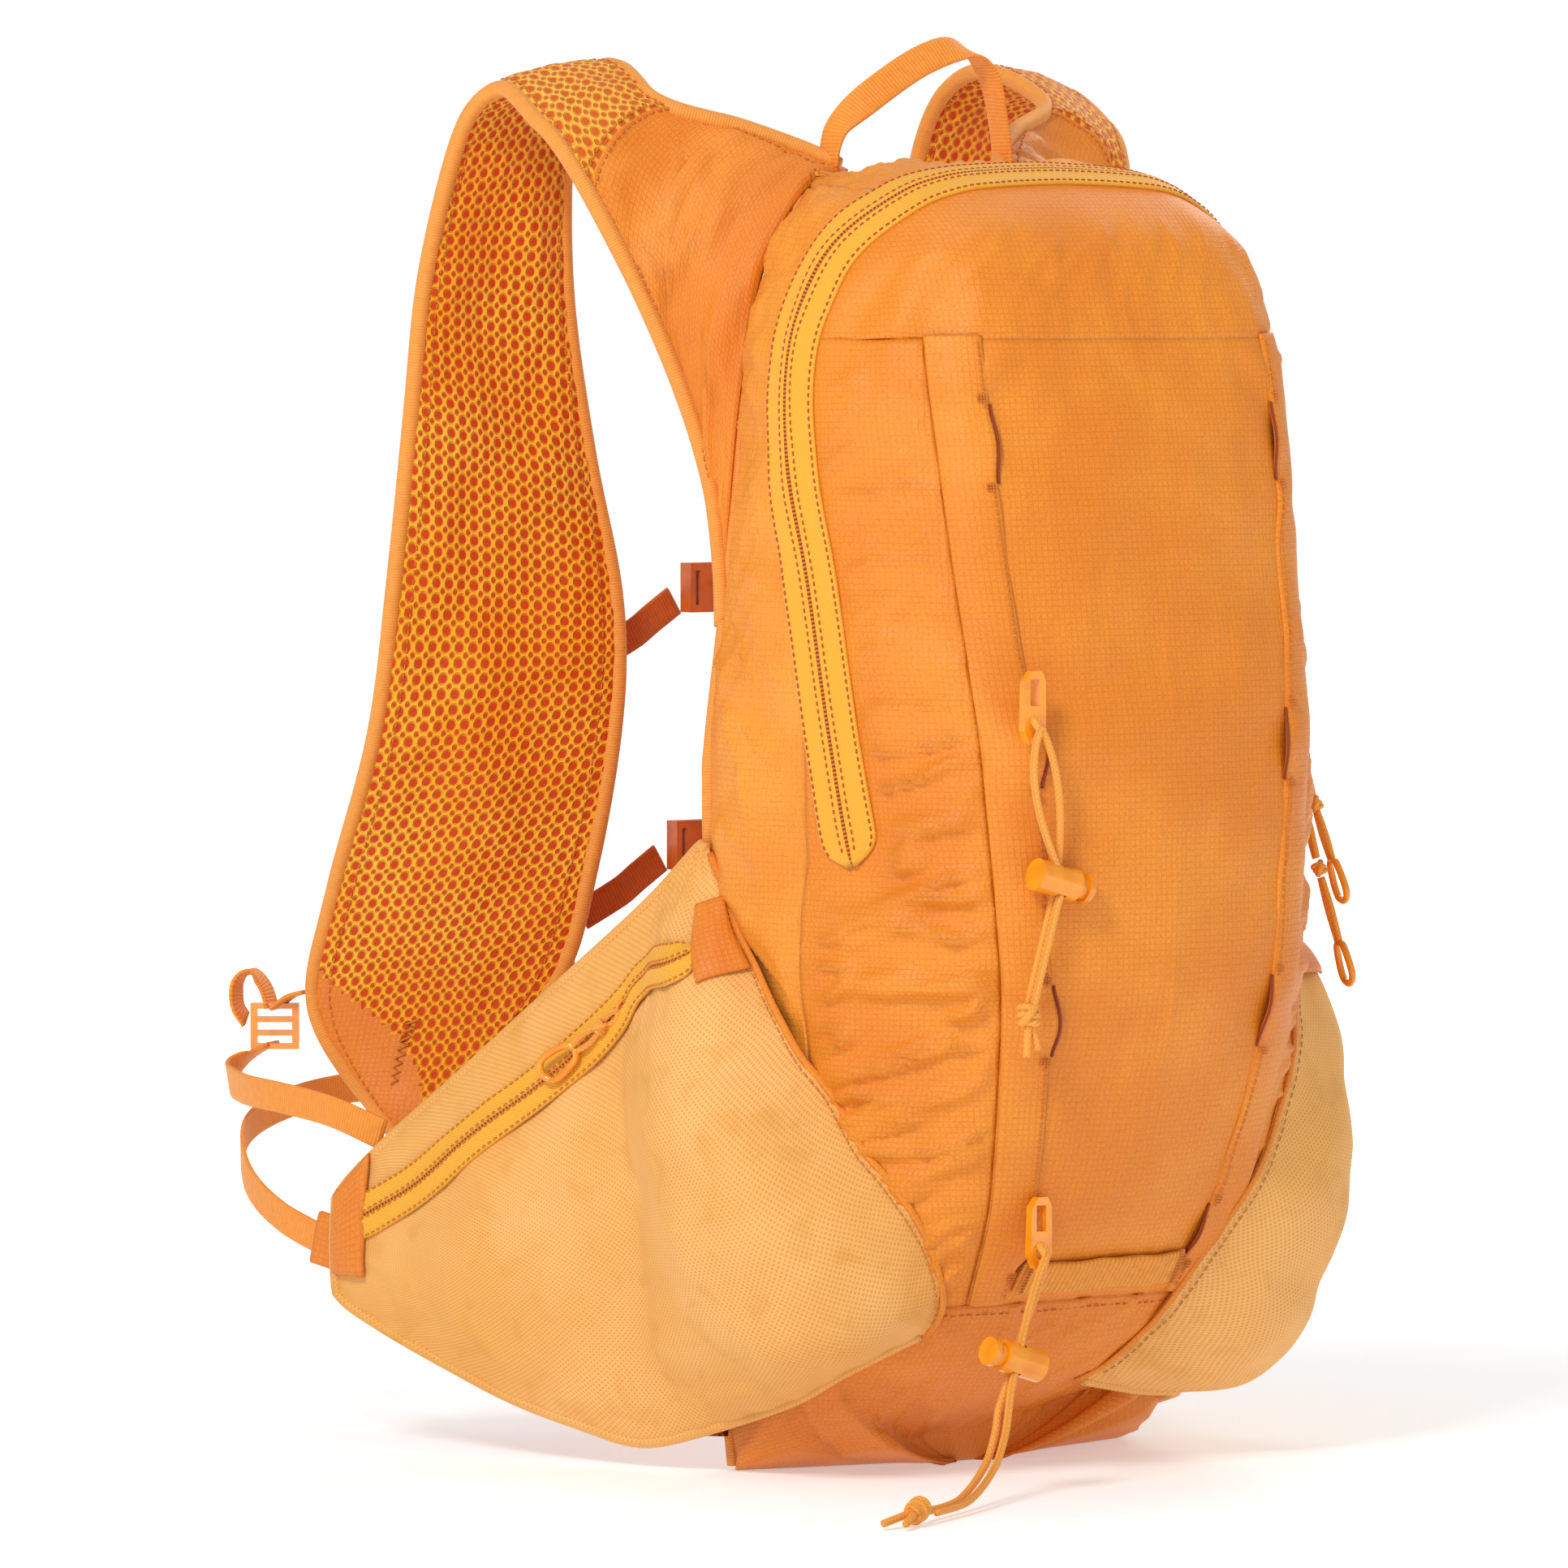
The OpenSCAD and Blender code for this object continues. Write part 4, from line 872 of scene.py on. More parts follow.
def side_relief(u, z):
    """Side panels, behind the zip."""
    outer = (abs(u) - ZIP_U) * SPREAD
    rear = (1 - abs(u)) * SPREAD
    o = 1.6 * crease(u, z, -0.5, 15, 11) * fade(outer, 0, 12) * fade(rear, 0, 14)
    o = o + pucker(z, outer, 0.6, 16, 11, 6) + 0.8 * crease(u, z, 0.9, 11, 14) * fade(z, 190, 260)
    return o * zip_calm(u, z)


def top_relief(u, z):
    """Top panel, up to the zip."""
    low = z - FRONT_HIGH
    o = seam_dip(low) + pucker(u * SPREAD, low, 0.3, 14, 12, 1)
    o = o + 0.9 * crease(u, z, 0.7, 14, 21) * fade(low, 4, 20)
    corner = np.exp(-((abs(u) - 0.5) * SPREAD / 26) ** 2) * np.exp(-low / 26)
    o = o + 1.3 * corner * np.sin((abs(u) * SPREAD + low) / 6.0)
    return o * zip_calm(u, z)


def cap_relief(u, z):
    """Top cloth behind the zip, lying a little under the zip's tape."""
    return -0.4 + crease(u, z, 0.3, 12, 31) * zip_calm(u, z)


def base_bowl():
    """The base panel: a bowl up to the lower seam, closed by a bottom that rises towards its middle."""
    u, z, _ = bag_patch(-1, 1, 0, FRONT_LOW, 130, 40)
    to_seam = FRONT_LOW - z
    o = seam_dip(to_seam) + pucker(u * SPREAD, to_seam, 0.7, 13, 10, 9) + 1.1 * crease(u, z, 0.4, 13, 41)
    bowl = on_bag(u, z, o)
    bowl[..., 2] = np.maximum(bowl[..., 2], 0.0)
    centre = np.array([0, 30.0, 0.0])
    bottom = np.array([centre + (bowl[0] - centre) * f for f in np.linspace(0.12, 0.94, 8)])
    bottom[..., 2] = bowl[0, :, 2] * np.linspace(0.0, 0.9, 8)[:, None] ** 1.5
    # The base takes the darker ripstop copy, as painted shade under the pack.
    finish_piece(sheet("bag_base", np.concatenate([bottom, bowl]), CLOTH_T, RIP_DEEP), "bag", ["base_panel"])


def back_panel():
    """Spacer mesh against the wearer: a padded slab with pressed channels and a bound rim."""
    z = np.linspace(1.5, 398, 151)
    half = blur(on_bag(1 + 0 * z, z)[:, 0] - 1.0 - 9.0 * fade(z, 345, 392), 2)
    c = np.linspace(-1, 1, 91)[None, :]
    x = half[:, None] * c
    zz = z[:, None] + 0 * c
    edge = np.minimum((1 - abs(c)) * 72.0, np.minimum(zz - 3, 400 - zz))
    puff = 1.6 * (1 - np.exp(-edge / 8))
    spine = 2.4 * np.exp(-(x / 6.5) ** 2)
    cross = 1.8 * sum(np.exp(-((zz - height + 0.0064 * x**2) / 5.0) ** 2) for height in (95, 165, 235, 305))
    y = BACK_Y - 1.6 + puff - (spine + cross) * fade(edge, 4, 20) + 0.5 * fbm(x / 30, zz / 30, 51, 2)
    p = np.stack([x, y, zz], -1)[:, ::-1]
    out = np.broadcast_to([0, 1.0, 0], p.shape)
    finish_piece(sheet("bag_back", p, 5.6, BACK_MESH, normals=out), "bag", ["back_panel"])
    rim_x = np.r_[-half, half[::-1], -half[0]]
    rim_z = np.r_[z, z[::-1], z[0]]
    rim = np.stack([rim_x, 50.5 + 0 * rim_x, rim_z], 1)
    finish_piece(tube_object("bag_back_binding", even(rim[::6], 3.0), 2.3, BINDING), "bag")


def outer_edges(s):
    """The outer panel's edges in u, from left to right."""
    return (-ZIP_U, lambda z: -seam_u(z)) if s < 0 else (seam_u, ZIP_U)


bag_panel("bag_front", (lambda z: -seam_u(z), seam_u, FRONT_LOW, FRONT_HIGH), (84, 200), front_relief, RIP,
          "front_panel")
for side, s in SIDES:
    bag_panel(f"bag_outer_{side}", (*outer_edges(s), FRONT_LOW, FRONT_HIGH), (36, 190), outer_relief, RIP,
              f"{side}_outer_panel")
    # The side panels take the lighter ripstop copy, as painted highlight.
    bag_panel(f"bag_side_{side}", (*sorted((s * ZIP_U, s)), FRONT_LOW, CAP_Z + 1), (44, 200), side_relief,
              RIP_LIT, f"{side}_side_panel")
bag_panel("bag_top", (-ZIP_U, ZIP_U, FRONT_HIGH, CROWN_V), (110, 44), top_relief, RIP, "top_panel")
# The top cloth behind the zip also takes the lighter ripstop copy, as painted highlight.
bag_panel("bag_top_rear", (-1.0, 1.0, CROWN_V - 6, CAP_Z + CAP_LEN), (110, 40), cap_relief, RIP_LIT, "yoke")
base_bowl()
back_panel()

seam = np.linspace(-0.5, 0.5, 160)
seam_z = FRONT_LOW - 3 + 0 * seam
seam_rows = [stitches(on_bag(seam, seam_z, 0.2), bag_normal(seam, seam_z), 2.8)]
finish_piece(stitch_object("base_seam_stitches", seam_rows, THREAD), "bag")

# ------------------------------------------------------------------ daisy strips
DAISY_LOW, DAISY_HIGH = 0.21, 0.345  # u of the strip's inner edge at its foot and at its top
DAISY_SLOTS = ((322, 12.0), (229, 11.0), (147, 11.0), (77, 9.0))  # height and half length
SLOT_LIFT = 2.2
STRIP_OFF = 1.0


def daisy_u(z):
    """Inner edge of the strip."""
    f = np.clip((z - FRONT_LOW) / (FRONT_HIGH - FRONT_LOW), 0, 1)
    wobble = 0.003 * np.sin(z / 21.0) + 0.0015 * np.sin(z / 8.3 + 1)
    return DAISY_LOW + (DAISY_HIGH - DAISY_LOW) * f + wobble


def slot_open(z):
    """1 in the middle of a slot and 0 between the slots."""
    return sum(bump(z, height, half) for height, half in DAISY_SLOTS)


def slot_edge_u(z):
    """The strip's inner edge, pulled in at the slots."""
    return daisy_u(z) - 0.007 * slot_open(z)


def flutter(z):
    """Small waves of the strip's free edge."""
    return 0.3 * np.sin(z / 6.1 + 2)


def strip_cloth(side, s):
    """The strip's cloth, sewn down at its outer edge and lifted at its slots."""
    edges = (lambda z: s * slot_edge_u(z), lambda z: s * (seam_u(z) - 0.002))
    u, z, c = bag_patch(*edges[::s], FRONT_LOW + 1, FRONT_HIGH + 1, 22, 240)
    free = c if s < 0 else 1 - c
    rim = 0.8 * (1 - fade(1 - free, 0, 0.1))
    o = STRIP_OFF + 0.5 * np.sin(math.pi * free) ** 0.8 + SLOT_LIFT * slot_open(z) * free**1.5 \
        + flutter(z) * free - rim
    finish_piece(sheet(f"daisy_{side}", on_bag(u, z, o), 0.9, RIP), "bag", [f"{side}_daisy_strip"])


def strip_stitches(side, s):
    """A row of stitches between the slots, and a bartack at both ends of each slot."""
    z = np.linspace(FRONT_LOW + 3, FRONT_HIGH - 2, 260)
    u = s * daisy_u(z) + s * 0.012
    sewn = slot_open(z) < 0.05
    rows = []
    for run in np.split(np.arange(len(z)), np.nonzero(np.diff(sewn))[0] + 1):
        if sewn[run[0]] and len(run) > 6:
            rows.append(stitches(on_bag(u[run], z[run], 1.75), bag_normal(u[run], z[run]), 2.6))
    for height, half in DAISY_SLOTS:
        for end in (-1, 1):
            z_end = height + end * (half + 1.5)
            ub = s * (daisy_u(z_end) + np.linspace(0.004, 0.024, 6))
            zb = z_end + 0 * ub
            for dz in (-0.6, 0.2, 1.0):
                rows.append(stitches(on_bag(ub, zb + dz, 2.0), bag_normal(ub, zb), 0.9, 0.9, 0.5))
    finish_piece(stitch_object(f"daisy_{side}_bartacks", rows, THREAD), "bag")


def slot_edges(side, s):
    """The raw edges of the slots, darkened as painted shade of the gap under the lifted strip."""
    parts = []
    for height, half in DAISY_SLOTS:
        z = np.linspace(height - half, height + half, 26)
        off = STRIP_OFF + slot_open(z) * SLOT_LIFT + flutter(z) - 0.4
        parts.append(tube(on_bag(s * (slot_edge_u(z) - 0.001), z, off), 0.45, 6))
    finish_piece(parts_object(f"daisy_{side}_slot_edges", parts, RAW_EDGE_AND_SHADE), "bag")


for side, s in SIDES:
    strip_cloth(side, s)
    strip_stitches(side, s)
    slot_edges(side, s)

# Elastic band between the strips, and its stitches
BAND_U, BAND_LOW, BAND_HIGH = 0.2, 61.0, 71.5


def band_relief(u, z):
    """The band stands over the front panel and dips where its ends are sewn in."""
    edge = np.maximum(np.minimum(z - BAND_LOW, BAND_HIGH - z), 0)
    ends = 1.2 * fade(abs(u), BAND_U - 0.015, BAND_U)
    return 2.2 + 0.5 * (1 - np.exp(-edge / 0.8)) - ends + 0.25 * np.sin(u * 60)


bag_panel("elastic_band", (-BAND_U - 0.008, BAND_U + 0.008, BAND_LOW, BAND_HIGH), (90, 14), band_relief,
          ELASTIC, "bottom_band", 1.4)
band_rows = []
for s in (-1, 1):
    z = np.linspace(BAND_LOW + 0.5, BAND_HIGH - 0.5, 20)
    u = s * (BAND_U - 0.006) + 0 * z
    for du in (-0.003, 0.003):
        band_rows.append(stitches(on_bag(u + du, z, 2.7), bag_normal(u, z), 1.2, 1.0, 0.7))
finish_piece(stitch_object("elastic_band_bartacks", band_rows, THREAD), "bag")

# ------------------------------------------------------------------ zips
ZIP_OFF = 1.4  # height of the tape over its cloth
TAPE_COLS, STITCH_COLS = 31, 41
NARROW_ZIP = 8.0


def zip_rows(surface, normals, path, half, n_across, taper):
    """Grid of points for a zip tape that follows path over a surface known by two coordinates.
    Each row is walked outwards from the middle, so the tape keeps its width on curved cloth, and it
    narrows over the length taper at both ends.
    Also returns the outward directions, the distance along and the place across."""
    a, b = path[:, 0], path[:, 1]
    base = surface(a, b)
    side = unit(np.cross(normals(a, b), heading(base)))
    s = run_length(base)
    w = np.full(len(s), float(half))
    for to_end in (s, s[-1] - s):
        w = w * np.sqrt(np.clip(to_end / taper, 0.02, 1))
    m = (n_across - 1) // 2
    flat = np.zeros((len(s), n_across, 3))
    nor = np.zeros_like(flat)
    flat[:, m], nor[:, m] = base, normals(a, b)
    e = 1e-3  # step for the surface's slopes
    for sign in (-1, 1):
        ca, cb = a.copy(), b.copy()
        for j in range(1, m + 1):
            here, n = surface(ca, cb), normals(ca, cb)
            sa, sb = (surface(ca + e, cb) - here) / e, (surface(ca, cb + e) - here) / e
            t = unit(side - n * (side * n).sum(1, keepdims=True)) * (sign * w / m)[:, None]
            g11, g12, g22 = (sa * sa).sum(1), (sa * sb).sum(1), (sb * sb).sum(1)
            r1, r2 = (sa * t).sum(1), (sb * t).sum(1)
            det = g11 * g22 - g12 * g12
            ca = ca + (r1 * g22 - r2 * g12) / det
            cb = cb + (r2 * g11 - r1 * g12) / det
            flat[:, m + sign * j], nor[:, m + sign * j] = surface(ca, cb), normals(ca, cb)
    flat, nor = blur(flat, 1.6, 0), unit(blur(nor, 1.6, 0))
    k = np.linspace(-1, 1, n_across)
    x = abs(k)[None, :] * w[:, None]
    rise = ZIP_OFF + 0.9 * np.exp(-(x / 2.4) ** 2) - 1.1 * np.exp(-(x / 0.8) ** 2) \
        - 4.0 * np.clip(abs(k)[None, :] - 0.9, 0, 1)
    return flat + nor * rise[..., None], nor, s, k


def build_zip(prefix, surface, normals, path, half, taper, node, body=None, blend=None):
    """A zip's tape with its coil, and two rows of stitches on each side of the coil."""
    out, nor, s, k = zip_rows(surface, normals, path, half, TAPE_COLS, taper)
    mid = TAPE_COLS // 2
    index = np.zeros((len(s) - 1, TAPE_COLS - 1), int)
    index[:, mid - 1:mid + 1] = 1
    uv = np.stack(np.broadcast_arrays(k * half, s[:, None]), -1)
    tape = sheet(f"{prefix}_tape", out, 1.0, [TAPE, COIL], uv=uv, normals=nor, index=index)
    finish_piece(tape, body, [node], blend)
    out, nor, _, _ = zip_rows(surface, normals, path, half, STITCH_COLS, taper)
    mid = STITCH_COLS // 2
    near = 3 if half < NARROW_ZIP else 5
    rows = []
    for c in (mid + near, mid - near, mid + 18, mid - 18):
        rows.append(stitches(out[2:-2, c] + nor[2:-2, c] * 0.1, nor[2:-2, c], 2.4, 1.5))
    thread = THREAD if half < NARROW_ZIP else THREAD_DEEP
    finish_piece(stitch_object(f"{prefix}_stitches", rows, thread), body, (), blend)


leg = np.array(ZIP_LEG)
both_legs = np.concatenate([leg * [-1, 1], leg[-2::-1]])
build_zip("main_zip", on_bag, bag_normal, even(both_legs * [SPREAD, 1], 2.2) / [SPREAD, 1], 10.5, 0.8,
          "main_zip_tape", body="bag")

# ------------------------------------------------------------------ hip pocket and wing
# Made for the right side; the left is its mirror image, apart from the pocket's front and lower edge.
# c runs from the pocket's front edge (0) past the wearer's side of the bag (1) to the wing's tip (2),
# and k from the lower edge to the upper edge.
POCKET_FRONT = {-1: [[0, .52], [30, .52], [40, .42], [50, .36], [58, .345], [158, .76], [196, .95]],
                1: [[0, .12], [20, .12], [32, .19], [44, .225], [59, .24], [67, .255], [81, .285],
                    [105, .365], [136, .44], [158, .55], [175, .70], [196, .95]]}
POCKET_LOW = {-1: [[0, 48], [.15, 40], [.35, 30], [.7, 18], [.9, 9], [1, 5]],
              1: [[0, 21], [.2, 19], [.4, 17], [.7, 11], [1, 5]]}
POCKET_TOP = 196
WING_PATH = [[83, 55], [97, 80], [113, 112], [128, 142], [143, 170]]
WING_LOW = [[0, 5], [.25, 9], [.5, 18], [.75, 32], [1, 48]]
WING_HIGH = [[0, POCKET_TOP], [.25, 168], [.5, 138], [.75, 110], [1, 82]]
WING_SWELL = [[0, .45], [.25, .85], [.5, 1], [.75, .75], [1, .2]]
WING_SKIN, WING_T = 3.0, 15.0
HIP_ZIP = [[0.27, 0.815], [0.55, 0.80], [0.85, 0.82], [1.0, 0.825], [1.12, 0.818], [1.25, 0.804],
           [1.37, 0.775], [1.5, 0.755], [1.7, 0.70], [1.96, 0.62]]
C_AXIS = np.linspace(0, 2, 101)
K_AXIS = np.linspace(0, 1, 61)
C_MM, K_MM = 110, 170  # rough millimetres of cloth for one unit of c and of k


def curve_of(rows):
    """A function that runs smoothly through rows of (x, value)."""
    xs = np.linspace(rows[0][0], rows[-1][0], 200)
    ys = blur(lookup(xs, rows), 6)
    return lambda x: np.interp(x, xs, ys)


wing_low, wing_high, wing_swell = curve_of(WING_LOW), curve_of(WING_HIGH), curve_of(WING_SWELL)
pocket_front = {s: curve_of(rows) for s, rows in POCKET_FRONT.items()}


def wing_plan(s):
    """Line of the wing seen from above."""
    return spline(WING_PATH, np.clip(s, 0, 1) * (len(WING_PATH) - 1))


def wing_out(s):
    """Direction out of the wing, seen from above."""
    d = wing_plan(np.minimum(s + 0.02, 1)) - wing_plan(np.maximum(s - 0.02, 0))
    return unit(np.stack([d[..., 1], -d[..., 0], 0 * d[..., 0]], -1))


def wing_mid(s, k):
    """Middle of the wing: s from its root to its tip, k from its lower to its upper edge."""
    plan = wing_plan(s)
    return np.stack([plan[..., 0], plan[..., 1], wing_low(s) + k * (wing_high(s) - wing_low(s))], -1)


def wing_point(s, k, off):
    """Outside of the wing, swollen by the padding and by off."""
    s, k = np.broadcast_arrays(float(s), k)
    swell = wing_swell(s) * np.maximum(np.sin(math.pi * np.clip(k, 0, 1)), 0) ** 0.7
    reach = WING_SKIN + (WING_T - WING_SKIN) * swell + off
    return wing_mid(s, k) + wing_out(s) * reach[..., None]


def pocket_table(side):
    """The outside of the pocket and wing in one sheet, as a grid over K_AXIS and C_AXIS."""
    full = np.sin(math.pi * K_AXIS) ** 0.85
    knots = []
    for f, off in ((0.0, 0.9 + 0 * full), (0.3, 3 + 23 * full), (0.62, 4 + 27 * full)):
        low = lookup(f, POCKET_LOW[side])
        z = low + (POCKET_TOP - low) * K_AXIS
        front = pocket_front[side](z)
        p = on_bag(front + (1 - front) * f, z, off)
        sag = min(f, 0.3) / 0.3 * 0.5 * (1 - K_AXIS) ** 3
        p[:, 2] = np.maximum(p[:, 2] * (1 - sag) + low * sag, 1.2)
        knots.append(p)
    for s in (0.16, 0.3, 0.5, 0.7, 0.85, 1.0):
        knots.append(wing_point(s, K_AXIS, 9 * full * (1 - s) ** 1.5))
    knots = np.array(knots)
    knot_c = np.array([0, 0.34, 0.66, 1.16, 1.3, 1.5, 1.7, 1.85, 2.0])
    t = np.interp(C_AXIS, knot_c, np.arange(len(knot_c)))
    out = np.array([spline(knots[:, i], t) for i in range(len(K_AXIS))])
    soft = blur(out, 2.5, 1)
    return out + (soft - out) * fade(C_AXIS, 0.0, 0.16)[:, None]


def rim_distance(c, k):
    """Rough distance to the nearest edge of the pocket and wing."""
    return np.minimum(np.minimum(k, 1 - k) * 190, np.minimum(c, 2 - c) * 100)


def pocket_surface(side, seed):
    """Tables of the pocket's cloth, wrinkled as solved cloth, and of its outward direction."""
    p0 = pocket_table(side)
    n0 = unit(blur(blur(grid_normals(p0), 2, 0), 2, 1))
    wave = np.zeros(p0.shape[:2])
    k, c = np.meshgrid(K_AXIS, C_AXIS, indexing="ij")
    rough = p0 + n0 * fbm(c * 4, k * 4, seed)[..., None]
    d = rim_distance(c, k)
    pin = np.clip(1 - d / 8, 0, 1).ravel()
    moved = cloth_shift(rough.reshape(-1, 3), quads(*p0.shape[:2]), pin, pressure=0.7, slack=0.012, cap=4)
    along = np.sum((rough + moved.reshape(p0.shape) - p0) * n0, -1)
    wave = blur(blur(np.clip(along, -3, 3.5), 1.2, 0), 1.2, 1) * fade(d, 0, 8)
    return Table(K_AXIS, C_AXIS, p0 + n0 * wave[..., None]), Table(K_AXIS, C_AXIS, n0)


POCKETS = {-1: pocket_surface(-1, 6), 1: pocket_surface(1, 9)}


def mirror(p, s):
    """A right side point for side s, 1 for right and -1 for left."""
    return p * [s, 1, 1]


def on_pocket(s, c, k, off=0.0):
    """Points on the cloth of the pocket and wing of side s, off outwards."""
    table, normals = POCKETS[s]
    return mirror(table(k, c) + unit(normals(k, c)) * column(off), s)


def pocket_normal(s, c, k):
    return mirror(unit(POCKETS[s][1](k, c)), s)


def wing_blend(side):
    """The wing joint's blend, from the bag to the wing."""
    return ("bag", f"{side}_wing", (0, 0.014, 0), (0, 0.032, 0))


def turned_sheet(name, p, n, turn, t, mat):
    """A sheet whose columns are turned round if turn is true, so that its outside stays outside."""
    uv = arc_uv(p)
    if turn:
        p, n, uv = p[:, ::-1], n[:, ::-1], uv[:, ::-1]
    return sheet(name, p, t, mat, uv=uv, normals=n)


def hip_pocket(side, s):
    """Stretch cloth over the pocket and the wing, gathered at its edges and pressed flat under the zip."""
    k, c = np.meshgrid(np.linspace(0, 1, 121), np.linspace(0, 2, 201), indexing="ij")
    x = c * C_MM
    o = pucker(x, k * 190, 0.5, 14, 8, 1) + pucker(x, (1 - k) * 170, 0.5, 12, 8, 2)
    o = o + pucker(k * 190, x, 0.5, 15, 8, 3)
    o = o + 0.7 * np.maximum(1 - 3 * abs(fbm(c * 3.4, k * 3, 61, 2)), 0) * fade(rim_distance(c, k), 2, 25)
    to_zip = (k - lookup(c, HIP_ZIP)) * K_MM
    o = o - 1.2 * np.exp(-(to_zip / 9) ** 2) * fade(c, 0.25, 0.35)
    p, n = on_pocket(s, c, k, o), pocket_normal(s, c, k)
    finish_piece(turned_sheet(f"hip_pocket_{side}", p, n, s < 0, 0.9, STRETCH),
                 replaces=[f"{side}_pocket_panel"], blend=wing_blend(side))


def wing_pad(side, s):
    """Padded mesh on the wearer's side of the wing, with its root tucked in behind the bag."""
    at, k = np.meshgrid(np.linspace(-0.09, 1, 65), np.linspace(0.03, 0.99, 61))
    edge = np.minimum(np.minimum(k, 1 - k) * 150, (1 - at) * 130)
    puff = 2.4 * (1 - np.exp(-edge / 6)) + 0.5 * fbm(at * 6, k * 6, 71, 2)
    out = wing_out(at)
    p = wing_mid(at, k) + np.minimum(at, 0)[..., None] * [62, 70, 0] + out * (1.4 - puff)[..., None]
    p, n = mirror(p[:, ::-1], s), mirror(-out[:, ::-1], s)
    pad = turned_sheet(f"wing_pad_{side}", p, n, s < 0, 2.2, BACK_MESH)
    finish_piece(pad, replaces=[f"{side}_wing"], blend=wing_blend(side))


def pocket_edges(side, s):
    """Bound edge all round the wing, and the pocket's front hem with its stitches."""
    c = np.linspace(0.06, 2, 90)
    top = on_pocket(s, c, 1 + 0 * c, -0.6)
    tip = on_pocket(s, 2 + 0 * K_AXIS, K_AXIS[::-1], -0.6)
    low = on_pocket(s, c[::-1], 0 * c, -0.6)
    path = even(np.concatenate([top, tip[3:-3], low])[::3], 2.5)
    finish_piece(tube_object(f"wing_binding_{side}", path, 2.0, STRETCH), blend=wing_blend(side))
    k = np.linspace(0, 1, 80)
    hem = even(on_pocket(s, 0 * k + 0.012, k, 0.3)[::3], 2.5)
    finish_piece(tube_object(f"pocket_hem_{side}", hem, 1.2, RIP, sides=8, flat=0.6), "bag")
    k = np.linspace(0.03, 0.97, 150)
    c = 0.05 + 0 * k
    row = stitches(on_pocket(s, c, k, 0.7), pocket_normal(s, c, k), 2.8)
    finish_piece(stitch_object(f"pocket_hem_stitches_{side}", [row], THREAD_PALE), "bag")


def hip_zip(side, s):
    """The zip along the hip pocket, on a surface just over the pocket's cloth."""
    path = even(np.array(HIP_ZIP) * [C_MM, K_MM], 2.0) / [C_MM, K_MM]
    build_zip(f"hip_zip_{side}", lambda c, k: on_pocket(s, c, k, 0.2), lambda c, k: pocket_normal(s, c, k),
              path, 7.0, 4, f"{side}_hip_zip_tape", blend=wing_blend(side))


def zip_tab(side, s, tag, c0, c1, k0, k1):
    """Ripstop tab over an end of the hip zip, from c0 to c1 and from k0 to k1 above the zip."""
    c, dk = np.meshgrid(np.linspace(c0, c1, 14), np.linspace(k0, k1, 24))
    k = np.clip(lookup(c, HIP_ZIP) + dk, 0.02, 0.99)
    rim = np.minimum(np.minimum(dk - k0, k1 - dk) * 150, np.minimum(c - c0, c1 - c) * 110)
    p = on_pocket(s, c, k, 1.9 + 0.9 * (1 - np.exp(-rim / 1.2)))
    return turned_sheet(f"hip_zip_{side}_{tag}_tab", p, pocket_normal(s, c, k), s < 0, 1.0, RIP_DEEP)


for side, s in SIDES:
    hip_pocket(side, s)
    wing_pad(side, s)
    pocket_edges(side, s)
    hip_zip(side, s)
    finish_piece(zip_tab(side, s, "front", 0.05, 0.30, -0.055, 0.085), blend=wing_blend(side))
    finish_piece(zip_tab(side, s, "rear", 1.88, 1.995, -0.36, 0.34), f"{side}_wing")

# ------------------------------------------------------------------ shoulder straps
# The right strap; the left is its mirror image. v runs across from its outer to its inner edge, and s
# is the distance along it, from the bag over the shoulder to its foot.
STRAP_OUTER = [[114, 110, 423], [113, 125, 432], [115, 141, 425], [118, 150, 405], [121, 160, 370],
               [122, 166, 330], [122, 176, 279], [121, 190, 226], [117, 222, 172], [112, 240, 132],
               [100, 212, 96]]
STRAP_INNER = [[71, 108, 438], [70, 125, 440], [68, 141, 432], [66, 152, 410], [62, 157, 365],
               [53, 158, 315], [45, 154, 270], [46, 152, 232], [51, 160, 181], [60, 170, 142],
               [88, 204, 92]]
# Lines across the shoulder cloth, from where it leaves the bag to the root of the padded strap
SHOULDER = [
    [[78.5, 50, 264], [76, 50, 300], [71.5, 49.5, 340], [63, 49.5, 376], [48, 50, 399], [30, 51, 406]],
    [[78, 56, 306], [79, 58, 335], [76.5, 60, 362], [67, 61, 386], [53, 61, 402], [37, 62, 412]],
    [[90, 72, 360], [88, 75, 378], [83, 77, 395], [75, 78, 407], [64, 78, 416], [54, 76, 420]],
    [[111, 92, 409], [105, 93, 414], [98, 93.5, 419], [90, 93.5, 423.5], [82, 92.5, 427], [74, 90, 429]],
]
STRAP_T = 7.0
STRAP_STEP = 3.2
STRAP_COLS = 24
STRAP_W = 60  # rough width, for distances from the edges
PATCH_LEN = 62  # length of the ripstop patch at the strap's foot

v_axis = np.linspace(0, 1, STRAP_COLS + 1)
outer_line, inner_line = (np.array(line, float)[:, None] for line in (STRAP_OUTER, STRAP_INNER))
strap_knots = np.concatenate([[smooth(line, STRAP_COLS) for line in SHOULDER],
                              outer_line + (inner_line - outer_line) * v_axis[:, None]])
knot_s = run_length(strap_knots[:, STRAP_COLS // 2])
STRAP_LEN = knot_s[-1]
CLOTH_S, ROOT_S = knot_s[2:4]  # where the shoulder cloth narrows to the strap, and the strap's root
strap_s = np.linspace(0, STRAP_LEN, int(STRAP_LEN / STRAP_STEP) + 1)
knot_t = np.interp(strap_s, knot_s, np.arange(len(knot_s)))
strap_mid = blur(np.stack([spline(strap_knots[:, j], knot_t) for j in range(STRAP_COLS + 1)], 1), 1.5, 0)
